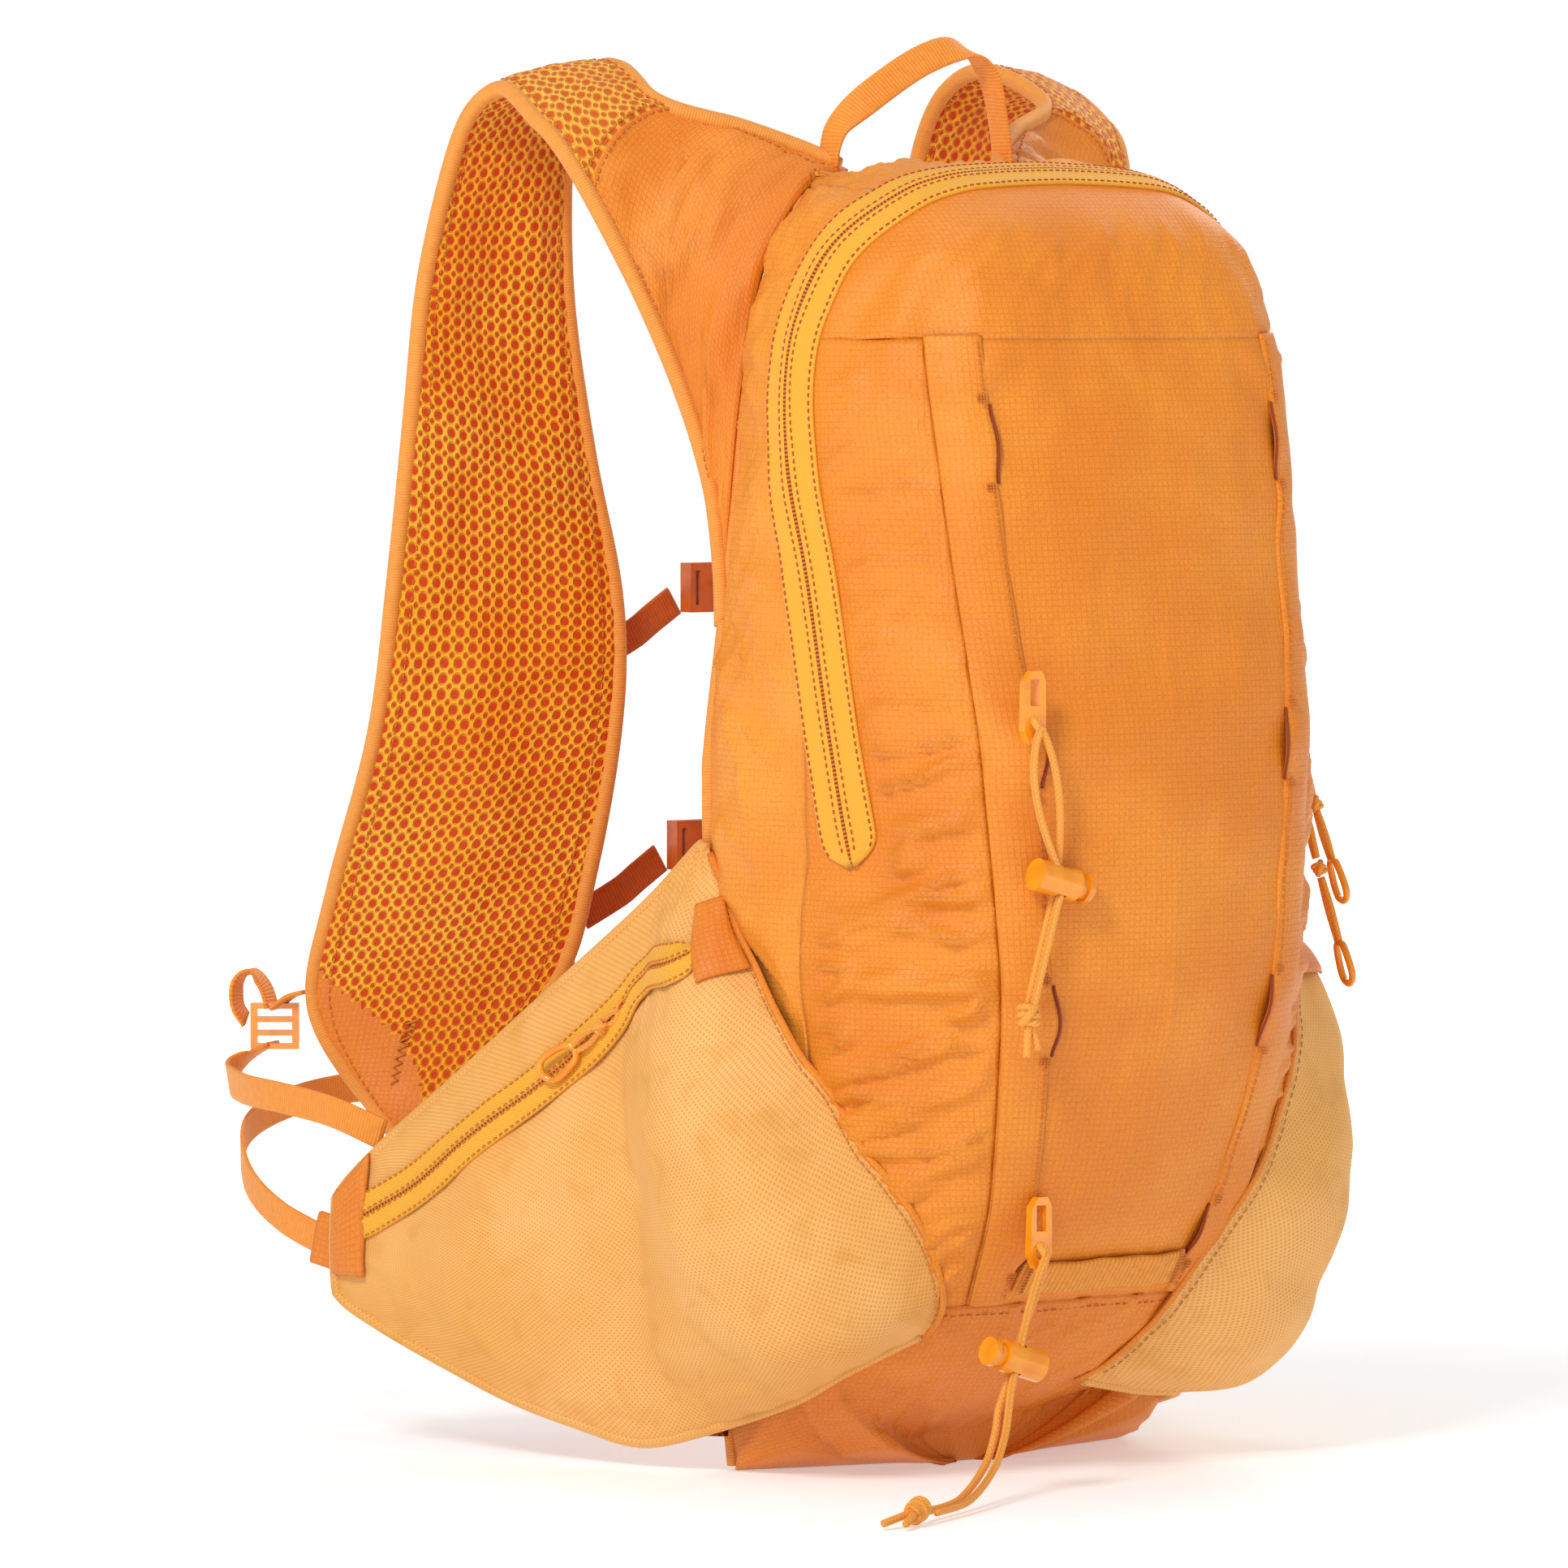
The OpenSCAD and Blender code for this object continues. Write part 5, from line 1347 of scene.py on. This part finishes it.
# The strap ends a little inside its outline, to leave room for the binding
slim = 3.2 * np.clip((strap_s - CLOTH_S) / 30, 0, 1)[:, None, None]
strap_mid = strap_mid + unit(strap_mid[:, -1:] - strap_mid[:, :1]) * slim * (1 - 2 * v_axis[None, :, None])
strap_n = unit(blur(blur(-grid_normals(strap_mid), 2, 0), 2, 1))
v_grid, s_grid = np.meshgrid(v_axis, strap_s)
padded = fade(s_grid, ROOT_S - 30, ROOT_S + 15)
half_t = (0.6 + (STRAP_T / 2 - 0.6) * padded) * (0.35 + 0.65 * np.sin(math.pi * v_grid) ** 0.6) + 0.2
half_t = half_t * (0.45 + 0.55 * fade(STRAP_LEN - s_grid, 0, 16))
edge_mm = np.minimum(v_grid, 1 - v_grid) * STRAP_W


def strap_wave(sign):
    """Folds of one face of the strap, and deeper ones in the shoulder cloth."""
    o = pucker(s_grid, edge_mm, 0.45, 13, 9, 3 + sign)
    o = o + 0.7 * fbm(v_grid * 2.2, s_grid / 42, 81 + sign, 2) * padded
    fold = np.maximum(1 - 3 * abs(fbm(v_grid * 1.9 + s_grid / 60, s_grid / 20, 88, 3)), 0)
    return o + (1 - padded) * 3.0 * fold * fade(edge_mm, 0, 8)


def strap_face(sign):
    """Outer (1) or inner (-1) face of the strap, wrinkled as solved cloth."""
    shape = strap_mid + strap_n * (sign * half_t)[..., None]
    wave = strap_wave(sign)
    ends = np.minimum(edge_mm, np.minimum(s_grid, STRAP_LEN - s_grid))
    rough = shape + strap_n * (fbm(v_grid * 4, s_grid / 18, 90 + sign) * 0.8)[..., None]
    faces = quads(*shape.shape[:2], flip=sign < 0)
    pin = np.clip(1 - ends / 9, 0, 1).ravel()
    moved = cloth_shift(rough.reshape(-1, 3), faces, pin, pressure=0.7, slack=0.012, cap=2.5)
    wave = wave + sign * np.sum(moved.reshape(shape.shape) * strap_n, -1) * fade(ends, 0, 8)
    return shape + strap_n * (sign * wave)[..., None]


strap_out, strap_in = strap_face(1), strap_face(-1)
S_OUT, S_IN, S_N = (Table(strap_s, v_axis, grid) for grid in (strap_out, strap_in, strap_n))
strap_uv = arc_uv(strap_mid)
JOIN_S = ROOT_S - 6  # seam between the shoulder cloth and the mesh
MESH_END_S = ROOT_S + 118  # end of the mesh on the outer face


def strap_blend(side):
    """The shoulder joint's blend, from the bag to the strap."""
    return ("bag", f"{side}_strap", (0, 0.030, 0), (0, 0.068, 0))


def strap_spot(table, sign, s, at, v, off):
    """Points on a face of the strap, and the direction out of it."""
    n = sign * unit(S_N(at, v))
    return mirror(table(at, v) + off * n, s), mirror(n, s)


def strap_mesh(side, s):
    """The strap and its shoulder section: outer face, inner face, and the walls between them."""
    rows, cols = strap_out.shape[:2]
    m = rows * cols
    verts = np.concatenate([mirror(face, s).reshape(-1, 3) for face in (strap_out, strap_in)])
    flip = s > 0
    faces = quads(rows, cols, 0, flip=flip) + quads(rows, cols, m, flip=not flip)
    mats = [RIP_YOKE, SPACER_TOP, SPACER, RIP_DEEP]
    mid_s = (strap_s[:-1] + strap_s[1:]) / 2
    mid_v = (v_axis[:-1] + v_axis[1:]) / 2
    outer = np.zeros((rows - 1, cols - 1), int)
    outer[(mid_s > JOIN_S) & (mid_s < MESH_END_S)] = 1
    inner = np.full((rows - 1, cols - 1), 2)
    inner[mid_s < JOIN_S] = 0
    patch = (mid_s[:, None] - STRAP_LEN + PATCH_LEN) / PATCH_LEN > abs(mid_v[None, :] - 0.02) * 1.25
    inner[patch] = 3
    index = outer.ravel().tolist() + inner.ravel().tolist()
    walls = []
    for j, out in ((0, True), (cols - 1, False)):
        for i in range(rows - 1):
            q = [i * cols + j, (i + 1) * cols + j, (i + 1) * cols + j + m, i * cols + j + m]
            walls.append(q if out != flip else q[::-1])
    for i, out in ((0, False), (rows - 1, True)):
        for j in range(cols - 1):
            q = [i * cols + j, i * cols + j + 1, i * cols + j + 1 + m, i * cols + j + m]
            walls.append(q if out != flip else q[::-1])
    uv = np.concatenate([strap_uv.reshape(-1, 2)] * 2)
    return mesh_object(f"strap_{side}", verts, faces + walls, mats, uv, index + [0] * len(walls))


def strap_trim(side, s):
    """Binding, stitches beside it and across the root, and a zig-zag bartack on the foot's patch."""
    loop = np.concatenate([strap_mid[:, 0], strap_mid[-1, 2:-2], strap_mid[::-1, -1]])
    binding = mirror(even(loop[::3], 2.6), s)
    finish_piece(tube_object(f"strap_binding_{side}", binding, 2.7, BINDING, sides=12),
                 blend=strap_blend(side))
    rows = []
    at = np.linspace(6, STRAP_LEN - 10, 330)
    for table, sign in ((S_OUT, 1), (S_IN, -1)):
        for v in (0.075, 0.925):
            rows.append(stitches(*strap_spot(table, sign, s, at, v + 0 * at, 0.15), 2.8))
    v = np.linspace(0.06, 0.94, 60)
    for root_s in (JOIN_S, JOIN_S - 3):
        rows.append(stitches(*strap_spot(S_OUT, 1, s, root_s + 0 * v, v, 0.2), 2.6))
    finish_piece(stitch_object(f"strap_stitches_{side}", rows, THREAD), blend=strap_blend(side))
    turns = np.arange(16)
    zig_s = STRAP_LEN - 20 - turns * 1.3
    zig_v = 0.30 + 0.05 * (turns % 2) + turns * 0.008
    path, _ = strap_spot(S_IN, -1, s, zig_s, zig_v, 0.3)
    finish_piece(tube_object(f"strap_zigzag_{side}", path, 0.45, THREAD, sides=6), f"{side}_strap")


def side_binding(side, s):
    """Binding from the shoulder cloth down the bag's rear edge."""
    z = np.linspace(192, 266, 40)
    down = on_bag(1 + 0 * z, z, -0.2)
    path = mirror(even(down[::3], 2.6), s)
    finish_piece(tube_object(f"side_binding_{side}", path, 2.7, BINDING, sides=12), "bag")


def strap_pocket(side, s):
    """Stretch pocket outside the strap, gathered under its bound rim."""
    low_v, high_v = 0.07, 0.60
    start, end = ROOT_S + 232, ROOT_S + 352
    v, at = np.meshgrid(np.linspace(low_v, high_v, 33), np.linspace(start, end, 51))
    f = (v - low_v) / 0.53
    g = (at - start) / (end - start)
    rise = 12 * np.sin(math.pi * f) ** 0.9 * np.sin(0.5 * math.pi * np.clip((1 - g) * 2.2, 0, 1))
    gather = 0.8 * np.sin(f * 34 + 1) * np.exp(-g * 9)
    p, n = strap_spot(S_OUT, 1, s, at, v, (1.2 + rise + gather)[..., None])
    cloth = turned_sheet(f"strap_pocket_{side}", p, n, s > 0, 0.9, STRETCH)
    finish_piece(cloth, f"{side}_strap", [f"{side}_strap_pocket"])
    rim = even(p[0, ::-s][::3], 2.0)
    finish_piece(tube_object(f"strap_pocket_rim_{side}", rim, 1.3, BINDING, sides=8), f"{side}_strap")


# Cord rails that the chest straps' clips ride
RAIL_X, RAIL_HALF = 52.0, 27.0
CHEST_LEVELS = {"upper": (167.0, 250.0), "lower": (175.0, 166.0)}  # y and z of the rail's middle


def chest_rails(side, s):
    """The two rails and their sewn feet."""
    parts = []
    for y, z in CHEST_LEVELS.values():
        rail = np.array([[RAIL_X * s, y, z + k] for k in np.linspace(-RAIL_HALF, RAIL_HALF, 40)])
        parts.append(tube(rail, 1.5))
        for e in (-1, 1):
            end = z + e * RAIL_HALF
            foot = [[RAIL_X * s, y, end], [RAIL_X * s, y - 1, end + e * 3], [RAIL_X * s, y - 5, end + e * 5]]
            parts.append(tube(smooth(foot, 10), 1.9))
    finish_piece(parts_object(f"chest_rails_{side}", parts, CORD), f"{side}_strap")


for side, s in SIDES:
    finish_piece(strap_mesh(side, s), replaces=[f"{side}_strap"], blend=strap_blend(side))
    strap_trim(side, s)
    side_binding(side, s)
    strap_pocket(side, s)
    chest_rails(side, s)

# ------------------------------------------------------------------ webbing
WEB_W, WEB_T = 10.0, 1.4
UPRIGHT = [0, 0, 1.0]


def haul_loop():
    """The grab loop, with its webbing turned to the side in its middle part."""
    path = even([[-34, 56, 406], [-33, 56, 414], [-29, 56, 421], [-16, 55, 431], [2, 55, 441],
                 [17, 55, 444.5], [27, 55, 437], [32, 56, 422], [33.5, 56, 412], [34, 56, 406]], 2.0)
    t = np.linspace(0, 1, len(path))[:, None]
    turn = fade(t, 0.02, 0.3) * (1 - fade(t, 0.5, 0.85))
    across = np.array([0, 1.0, 0]) * (1 - turn) + np.array([-0.573, 0.436, 0.573]) * turn
    loop = ribbon_object("haul_loop_webbing", path, across, WEB_W, WEB_T, WEB)
    finish_piece(loop, "haul_loop", ["haul_loop"])


def adjuster_webbing(side, s):
    """Webbing through the ladder lock: the run to the wing, the loose tail and the anchor on the strap."""
    run = even([[114, 257, 122], [120, 264, 117], [130, 259, 112], [138, 238, 110], [141, 210, 109],
                [139, 180, 106], [133, 161, 100]], 2.0)
    tail = even([[114, 258, 134], [115.5, 260, 141], [119.5, 262, 145.5], [124, 263, 142],
                 [124.5, 262.5, 135], [121.5, 262, 130]], 1.6)
    anchor = even([[108, 244, 140], [111, 251, 138], [113.5, 256, 134]], 1.5)
    bar = np.array([0.82, -0.57, 0])
    turn = fade(np.linspace(0, 1, len(run)), 0.02, 0.3)[:, None]
    parts = []
    for path, across, wave in ((run, bar * (1 - turn) + np.array(UPRIGHT) * turn, 0.4), (tail, bar, 0),
                               (anchor, bar, 0)):
        parts.append(ribbon(mirror(path, s), mirror(across, s), WEB_W, WEB_T, wave))
    finish_piece(parts_object(f"adjuster_webbing_{side}", parts, WEB), f"{side}_strap",
                 [f"{side}_adjuster_webbing"])


def belt_webbing(side, s):
    """Waist webbing to its half of the buckle, and the ripstop fold where it leaves the wing's tip."""
    end_x = 25.5 if s > 0 else 18.0
    belt = even([[147, 176, 66], [148, 198, 72], [143, 228, 83], [128, 251, 94], [102, 269, 101],
                 [66, 281, 104], [end_x, 285, 105]], 2.0)
    finish_piece(ribbon_object(f"belt_webbing_{side}", mirror(belt, s), UPRIGHT, WEB_W, WEB_T, WEB, wave=0.5),
                 f"{side}_wing", [f"{side}_belt_webbing"])
    tab = even([[140, 164, 63], [144, 170, 65], [147.5, 178, 67]], 1.5)
    finish_piece(ribbon_object(f"wing_tip_tab_{side}", mirror(tab, s), UPRIGHT, 17.0, 3.2, RIP_DEEP),
                 f"{side}_wing")


CHEST_RISE = 22.0
CLIP_R = 2.7
CLIP_GAP = 0.45  # angle that the clip leaves open on each side


def chest_webbing(level, side, s):
    """Half of a chest strap, from its clip to the buckle. The right half has a loose tail."""
    y, z = CHEST_LEVELS[level]
    start_x = RAIL_X - 4.5
    end_x = 17.0 if s < 0 else 10.0
    a = np.array([start_x, y, z])
    b = np.array([end_x, y, z + CHEST_RISE / (RAIL_X - 14.0) * (start_x - end_x)])
    run = even([a, a * 0.7 + b * 0.3 + [0, -0.8, -0.6], (a + b) / 2 + [0, -1.2, -0.8],
                a * 0.3 + b * 0.7 + [0, -0.6, -0.4], b], 1.5)
    tail = even([b + [1, 0, 0], b + [6, 2.0, 3], b + [13, 2.6, 6.5], b + [22, 3.2, 12]], 1.5)
    across = [0.5 * s, 0, 1.0]
    parts = [ribbon(mirror(path, s), across, WEB_W, WEB_T) for path in ([run, tail] if s > 0 else [run])]
    node = f"{level}_sternum_{side}"
    finish_piece(parts_object(f"{level}_chest_webbing_{side}", parts, CHEST_WEB), node, [node])


def chest_clip(level, side, s):
    """Open moulded sleeve round the cord rail."""
    y, z = CHEST_LEVELS[level]
    angle = np.linspace(CLIP_GAP, 2 * math.pi - CLIP_GAP, 22)
    ring = np.stack([RAIL_X + CLIP_R * np.cos(angle), y + CLIP_R * np.sin(angle), z + 0 * angle], -1)
    rows = np.array([ring + [0, 0, dz] for dz in np.linspace(-5, 5, 9)])
    n = unit((rows - [RAIL_X, y, 0]) * [1, 1, 0])
    rows = rows + n * 0.9 * np.cos(np.linspace(-1, 1, 9))[:, None, None]
    rows, n = mirror(rows, s)[:, ::s], mirror(n, s)[:, ::s]
    finish_piece(sheet(f"{level}_chest_clip_{side}", rows, 1.6, BURNT, normals=n), f"{level}_sternum_{side}")


haul_loop()
for side, s in SIDES:
    adjuster_webbing(side, s)
    belt_webbing(side, s)
for level in CHEST_LEVELS:
    for side, s in SIDES:
        chest_webbing(level, side, s)
        chest_clip(level, side, s)

# ------------------------------------------------------------------ cords
CORD_R = 1.2
STRAND_GAP = 1.5


def knot(centre, axis, r, cord_r):
    """A knot pulled tight: turns round the cords, with one strand over them."""
    axis = unit(axis)
    side = unit(np.cross(axis, [0.3, 0.9, 0.2]))
    other = np.cross(axis, side)
    turn = np.linspace(0, 2 * math.pi * 2.4, 84)
    along = np.linspace(-0.62, 0.62, 84)
    wide = r * (0.66 - 0.3 * along ** 2)
    coil = np.asarray(centre) + r * along[:, None] * (axis + 0.35 * side) \
        + (wide * np.cos(turn))[:, None] * side + (wide * np.sin(turn))[:, None] * other
    x = np.linspace(-1, 1, 20)[:, None]
    bend = 0.95 * np.cos(x * 1.5) * unit([-0.5, -0.85, 0.1])
    over = np.asarray(centre) + r * (0.85 * x * (axis - 0.5 * side) + bend)
    return [tube(coil, cord_r, 8), tube(over, cord_r, 8)]


def strand_path(hole, lock, drop, tail, tail_gap, side, spread):
    """One strand of a doubled cord: spread apart down to its lock, then down its tail."""
    gap = np.array([0, side * STRAND_GAP, 0])
    points = []
    for t in (0, 0.12, 0.3, 0.5, 0.7, 0.88):
        sway = spread * math.sin(math.pi * t ** 0.8) * (side if side < 0 else side * 0.75)
        points.append(hole * (1 - t) + lock * t + gap * t + [sway, 0, 0])
    points += [lock + gap, lock + drop * 9 + gap]
    points += [np.asarray(p) + side * np.asarray(tail_gap) for p in tail]
    return even(points, 1.5)


def cord_piece(level, hook, lock, knot_at, drop, tail, tail_gap, spread, ends):
    """A shock cord: the bight in its hook's hole, two strands, the knot and two loose ends."""
    hole = hook + [0, -4.4, -11]
    parts = [tube(strand_path(hole, lock, drop, tail, tail_gap, side, spread), CORD_R) for side in (1, -1)]
    bight = even([hole + [0, 0.5, -1.6], hole + [0.8, 2.6, 1.5], hole + [0, 3.8, 2.6],
                  hole + [-0.8, 2.0, 1.6], hole + [0, -0.5, -1.6]], 1.0)
    parts.append(tube(bight, CORD_R))
    parts += knot(knot_at, tail[-1] - tail[-2], 4.0, 1.25)
    for end in ends:
        loose = knot_at + np.outer([0, 0.5, 1], end)
        parts.append(tube(even(loose, 1.2), CORD_R))
    finish_piece(parts_object(f"{level}_shock_cord", parts, CORD), f"{level}_cord_hook", [f"{level}_cord"])


hook, lock, knot_at = np.array([[-55, -80.5, 248.0], [-44.5, -80.5, 190], [-55.5, -79.5, 150]])
drop = unit(knot_at - lock)
cord_piece("upper", hook, lock, knot_at, drop, [lock + drop * 20, lock + drop * 32, knot_at],
           [0, STRAND_GAP, 0], 5.5, [[3.5, 0, -11], [-1.5, -1, -13]])
hook, lock, knot_at = np.array([[-36.5, -59, 86.0], [-46.5, -60.5, 43], [-108, -95, 4.6]])
drop = unit([-7, -1, -22.0])
tail = np.array([lock + drop * 16, lock + drop * 24 + [0, -1, 0], [-62, -68, 11], [-80, -80, 4],
                 knot_at + [8, 4, -1.5]])
cord_piece("lower", hook, lock, knot_at, drop, tail, [-0.7, 1.7, 0], 1.2, [[-10, -8, -2.5], [-14, -2, -2.8]])

# ------------------------------------------------------------------ zip pulls
PULL_CORD_R = 0.95


def turned(v, axis, angle):
    """v turned round an axis."""
    axis = unit(axis)
    cos, sin = math.cos(angle), math.sin(angle)
    return v * cos + np.cross(axis, v) * sin + axis * (v @ axis) * (1 - cos)


def pull_piece(name, node, pin, out, down, reach=1.0):
    """Eye and link on the slider's pin, a doubled cord with its knot, and an open moulded end.
    reach above 1 makes the cord longer."""
    pin, out, down = np.asarray(pin, float), unit(out), unit(down)
    x = unit(np.cross(out, down))
    out = np.cross(down, x)

    def at(a, b, c):
        stretch = max(c - 12, 0) * (reach - 1) if c < 30 else 18 * (reach - 1)
        return pin + x * a + out * b + down * (c + stretch)

    def ring(b_ends, b_sides, half):
        """A closed loop from its two ends and the left half of its outline."""
        near, far = half[0][1], half[-1][1]
        left = [at(-a, b_sides, c) for a, c in half[1:-1]]
        right = [at(a, b_sides, c) for a, c in half[-2:0:-1]]
        first = at(0, b_ends, near)
        return [first, *left, at(0, b_sides, far), *right, first]

    eye = [at(0, 1.15 * math.cos(q), 1.15 * math.sin(q)) for q in np.linspace(0, 2 * math.pi, 20)]
    link = even(ring(0.2, 0.4, [(0, 1.4), (2.0, 4.0), (2.2, 9.0), (0, 11.4)]), 0.8)
    end = even(ring(0.6, 0.6, [(0, 30), (2.6, 31.5), (4.0, 38), (3.4, 42.0), (0, 43.6)]), 0.9)
    hard = [tube(eye, 0.55, 8), tube(link, 0.8, 8), tube(end, 1.15, 8)]
    soft = []
    for side in (-1, 1):
        for points in ([(0, 1.4, 10.6), (1.3, 0.8, 13), (0.9, 0.5, 17)],
                       [(0.8, 0.4, 20), (1.7, 0.5, 25), (1.0, 0.6, 30.5)]):
            soft.append(tube(even([at(side * a, b, c) for a, b, c in points], 1.0), PULL_CORD_R, 8))
    soft += knot(at(0, 0.6, 18.6), down, 2.3, PULL_CORD_R)
    finish_piece(parts_object(name, hard, AMBER), node, [node])
    finish_piece(parts_object(f"{name}_cord", soft, CORD), node)


MAIN_OUT, MAIN_DOWN = np.array([0.9615, -0.27481, 0]), np.array([-0.05586, -0.18249, -0.98162])
for level, pin, lean, reach in (("upper", (91.21, -20.71, 228.0), 14, 1.6),
                                ("lower", (90.26, -23.81, 211.31), 12, 2.1)):
    hang = turned(MAIN_DOWN, np.cross(MAIN_OUT, MAIN_DOWN), -math.radians(lean))
    pull_piece(f"{level}_main_puller", f"{level}_main_pull", pin, MAIN_OUT, hang, reach)
HIP_PIN = np.array([102.17, 58.3, 150.82])
HIP_RUN = np.array([0.44006, 0.64691, -0.62278])
HIP_OUT = unit([HIP_RUN[1], -HIP_RUN[0], 0])
for side, s in SIDES:
    pull_piece(f"{side}_hip_puller", f"{side}_hip_pull", *(mirror(v, s) for v in (HIP_PIN, HIP_OUT, HIP_RUN)))

# ------------------------------------------------------------------ hard parts from the CAD
# Each node's finish and the width of its softened edges in millimetres
HARD = {
    "left_ladder_lock": (AMBER, 0.5), "right_ladder_lock": (AMBER, 0.5),
    "belt_buckle_male": (AMBER, 0.5), "belt_buckle_female": (AMBER, 0.6),
    "left_hip_slider": (METAL, 0.35), "right_hip_slider": (METAL, 0.35),
    "upper_main_slider": (METAL, 0.35), "lower_main_slider": (METAL, 0.35),
    "upper_cord_hook": (AMBER, 0.45), "lower_cord_hook": (AMBER, 0.45),
    "upper_cord_lock": (AMBER, 0.4), "lower_cord_lock": (AMBER, 0.4),
    "upper_lock_plunger": (AMBER, 0.4), "lower_lock_plunger": (AMBER, 0.4),
    "upper_lock_spring": (STEEL, 0), "lower_lock_spring": (STEEL, 0),
    "upper_buckle_male": (BURNT, 0.5), "upper_buckle_female": (BURNT, 0.6),
    "lower_buckle_male": (BURNT, 0.5), "lower_buckle_female": (BURNT, 0.6),
    "back_foam": (FOAM, 0.6), "hydration_sleeve": (RIP_DEEP, 0.4),
}
for node, (mat, width) in HARD.items():
    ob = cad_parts[node]
    ob.data.materials.clear()
    ob.data.materials.append(mat)
    if width:
        bevel = ob.modifiers.new("soft_edges", "BEVEL")
        bevel.width = width * MM
        bevel.segments = 3
        bevel.limit_method = "ANGLE"
        bevel.angle_limit = math.radians(40)
        bevel.harden_normals = False

# ------------------------------------------------------------------ studio
scene = bpy.context.scene
scene.view_settings.view_transform = "Standard"
FLOOR_HALF = 6000


def paper_material():
    """Pale matt paper that glows more and more away from the pack, up to white."""
    m = Nodes("paper")
    b = m.bsdf.inputs
    b["Base Color"].default_value = (0.76, 0.79, 0.81, 1)
    b["Roughness"].default_value = 0.9
    b["Specular IOR Level"].default_value = 0.1
    b["Emission Color"].default_value = (1, 1, 1, 1)
    away = m.new("ShaderNodeVectorMath", operation="LENGTH")
    m.put(away.inputs[0], m.space())
    glow = m.new("ShaderNodeMapRange")
    m.put(glow.inputs["Value"], away.outputs["Value"])
    for key, value in (("From Min", 0.3), ("From Max", 1.1), ("To Min", 0.36), ("To Max", 0.85)):
        glow.inputs[key].default_value = value
    m.put(b["Emission Strength"], glow.outputs["Result"])
    return m.mat


def white_world():
    """Soft light from all round, with a plain white background for the camera."""
    world = bpy.data.worlds.new("studio")
    scene.world = world
    world.use_nodes = True
    tree = world.node_tree
    soft = tree.nodes["Background"]
    soft.inputs[0].default_value = (1.0, 0.99, 0.97, 1)
    soft.inputs[1].default_value = 0.52
    seen = tree.nodes.new("ShaderNodeBackground")
    seen.inputs[0].default_value = (1, 1, 1, 1)
    seen.inputs[1].default_value = 1.02
    ray = tree.nodes.new("ShaderNodeLightPath")
    either = tree.nodes.new("ShaderNodeMixShader")
    tree.links.new(ray.outputs["Is Camera Ray"], either.inputs[0])
    tree.links.new(soft.outputs[0], either.inputs[1])
    tree.links.new(seen.outputs[0], either.inputs[2])
    tree.links.new(either.outputs[0], tree.nodes["World Output"].inputs[0])


def lamp(name, at, target, size, power):
    """Round soft lamp that shines at a target."""
    data = bpy.data.lights.new(name, "AREA")
    data.shape = "DISK"
    data.size = size
    data.energy = power
    ob = bpy.data.objects.new(name, data)
    ob.location = at
    ob.rotation_euler = (Vector(target) - Vector(at)).to_track_quat("-Z", "Y").to_euler()
    scene.collection.objects.link(ob)


corners = [[-1, -1], [1, -1], [1, 1], [-1, 1]]
floor = mesh_object("floor", [[x * FLOOR_HALF, y * FLOOR_HALF, -0.2] for x, y in corners], [[0, 1, 2, 3]],
                    paper_material())
white_world()
lamp("key", (-1.9, -1.1, 1.9), (0, 0.0, 0.22), 0.7, 38)
lamp("top", (0.3, 0.3, 2.4), (0, 0.05, 0.3), 0.8, 6)
lamp("rim", (1.6, 0.9, 1.3), (0, 0.0, 0.25), 0.8, 8)

# The camera at the photo's angle, in degrees and metres
CAMERA_TURN, CAMERA_UP, CAMERA_AWAY = -35, 3, 3.2
CAMERA_TARGET = Vector((0, 0.0968, 0.2092))
SENSOR_W = 36
FIELD_W = 0.50576  # width of the picture at the target
camera = bpy.data.objects.new("camera", bpy.data.cameras.new("camera"))
scene.collection.objects.link(camera)
scene.camera = camera
az, el = math.radians(CAMERA_TURN), math.radians(CAMERA_UP)
back_dir = Vector((math.sin(az) * math.cos(el), -math.cos(az) * math.cos(el), math.sin(el)))
camera.location = CAMERA_TARGET + back_dir * CAMERA_AWAY
camera.rotation_euler = (-back_dir).to_track_quat("-Z", "Y").to_euler()
camera.data.sensor_width = SENSOR_W
camera.data.lens = SENSOR_W * CAMERA_AWAY / FIELD_W
camera.data.clip_end = 60
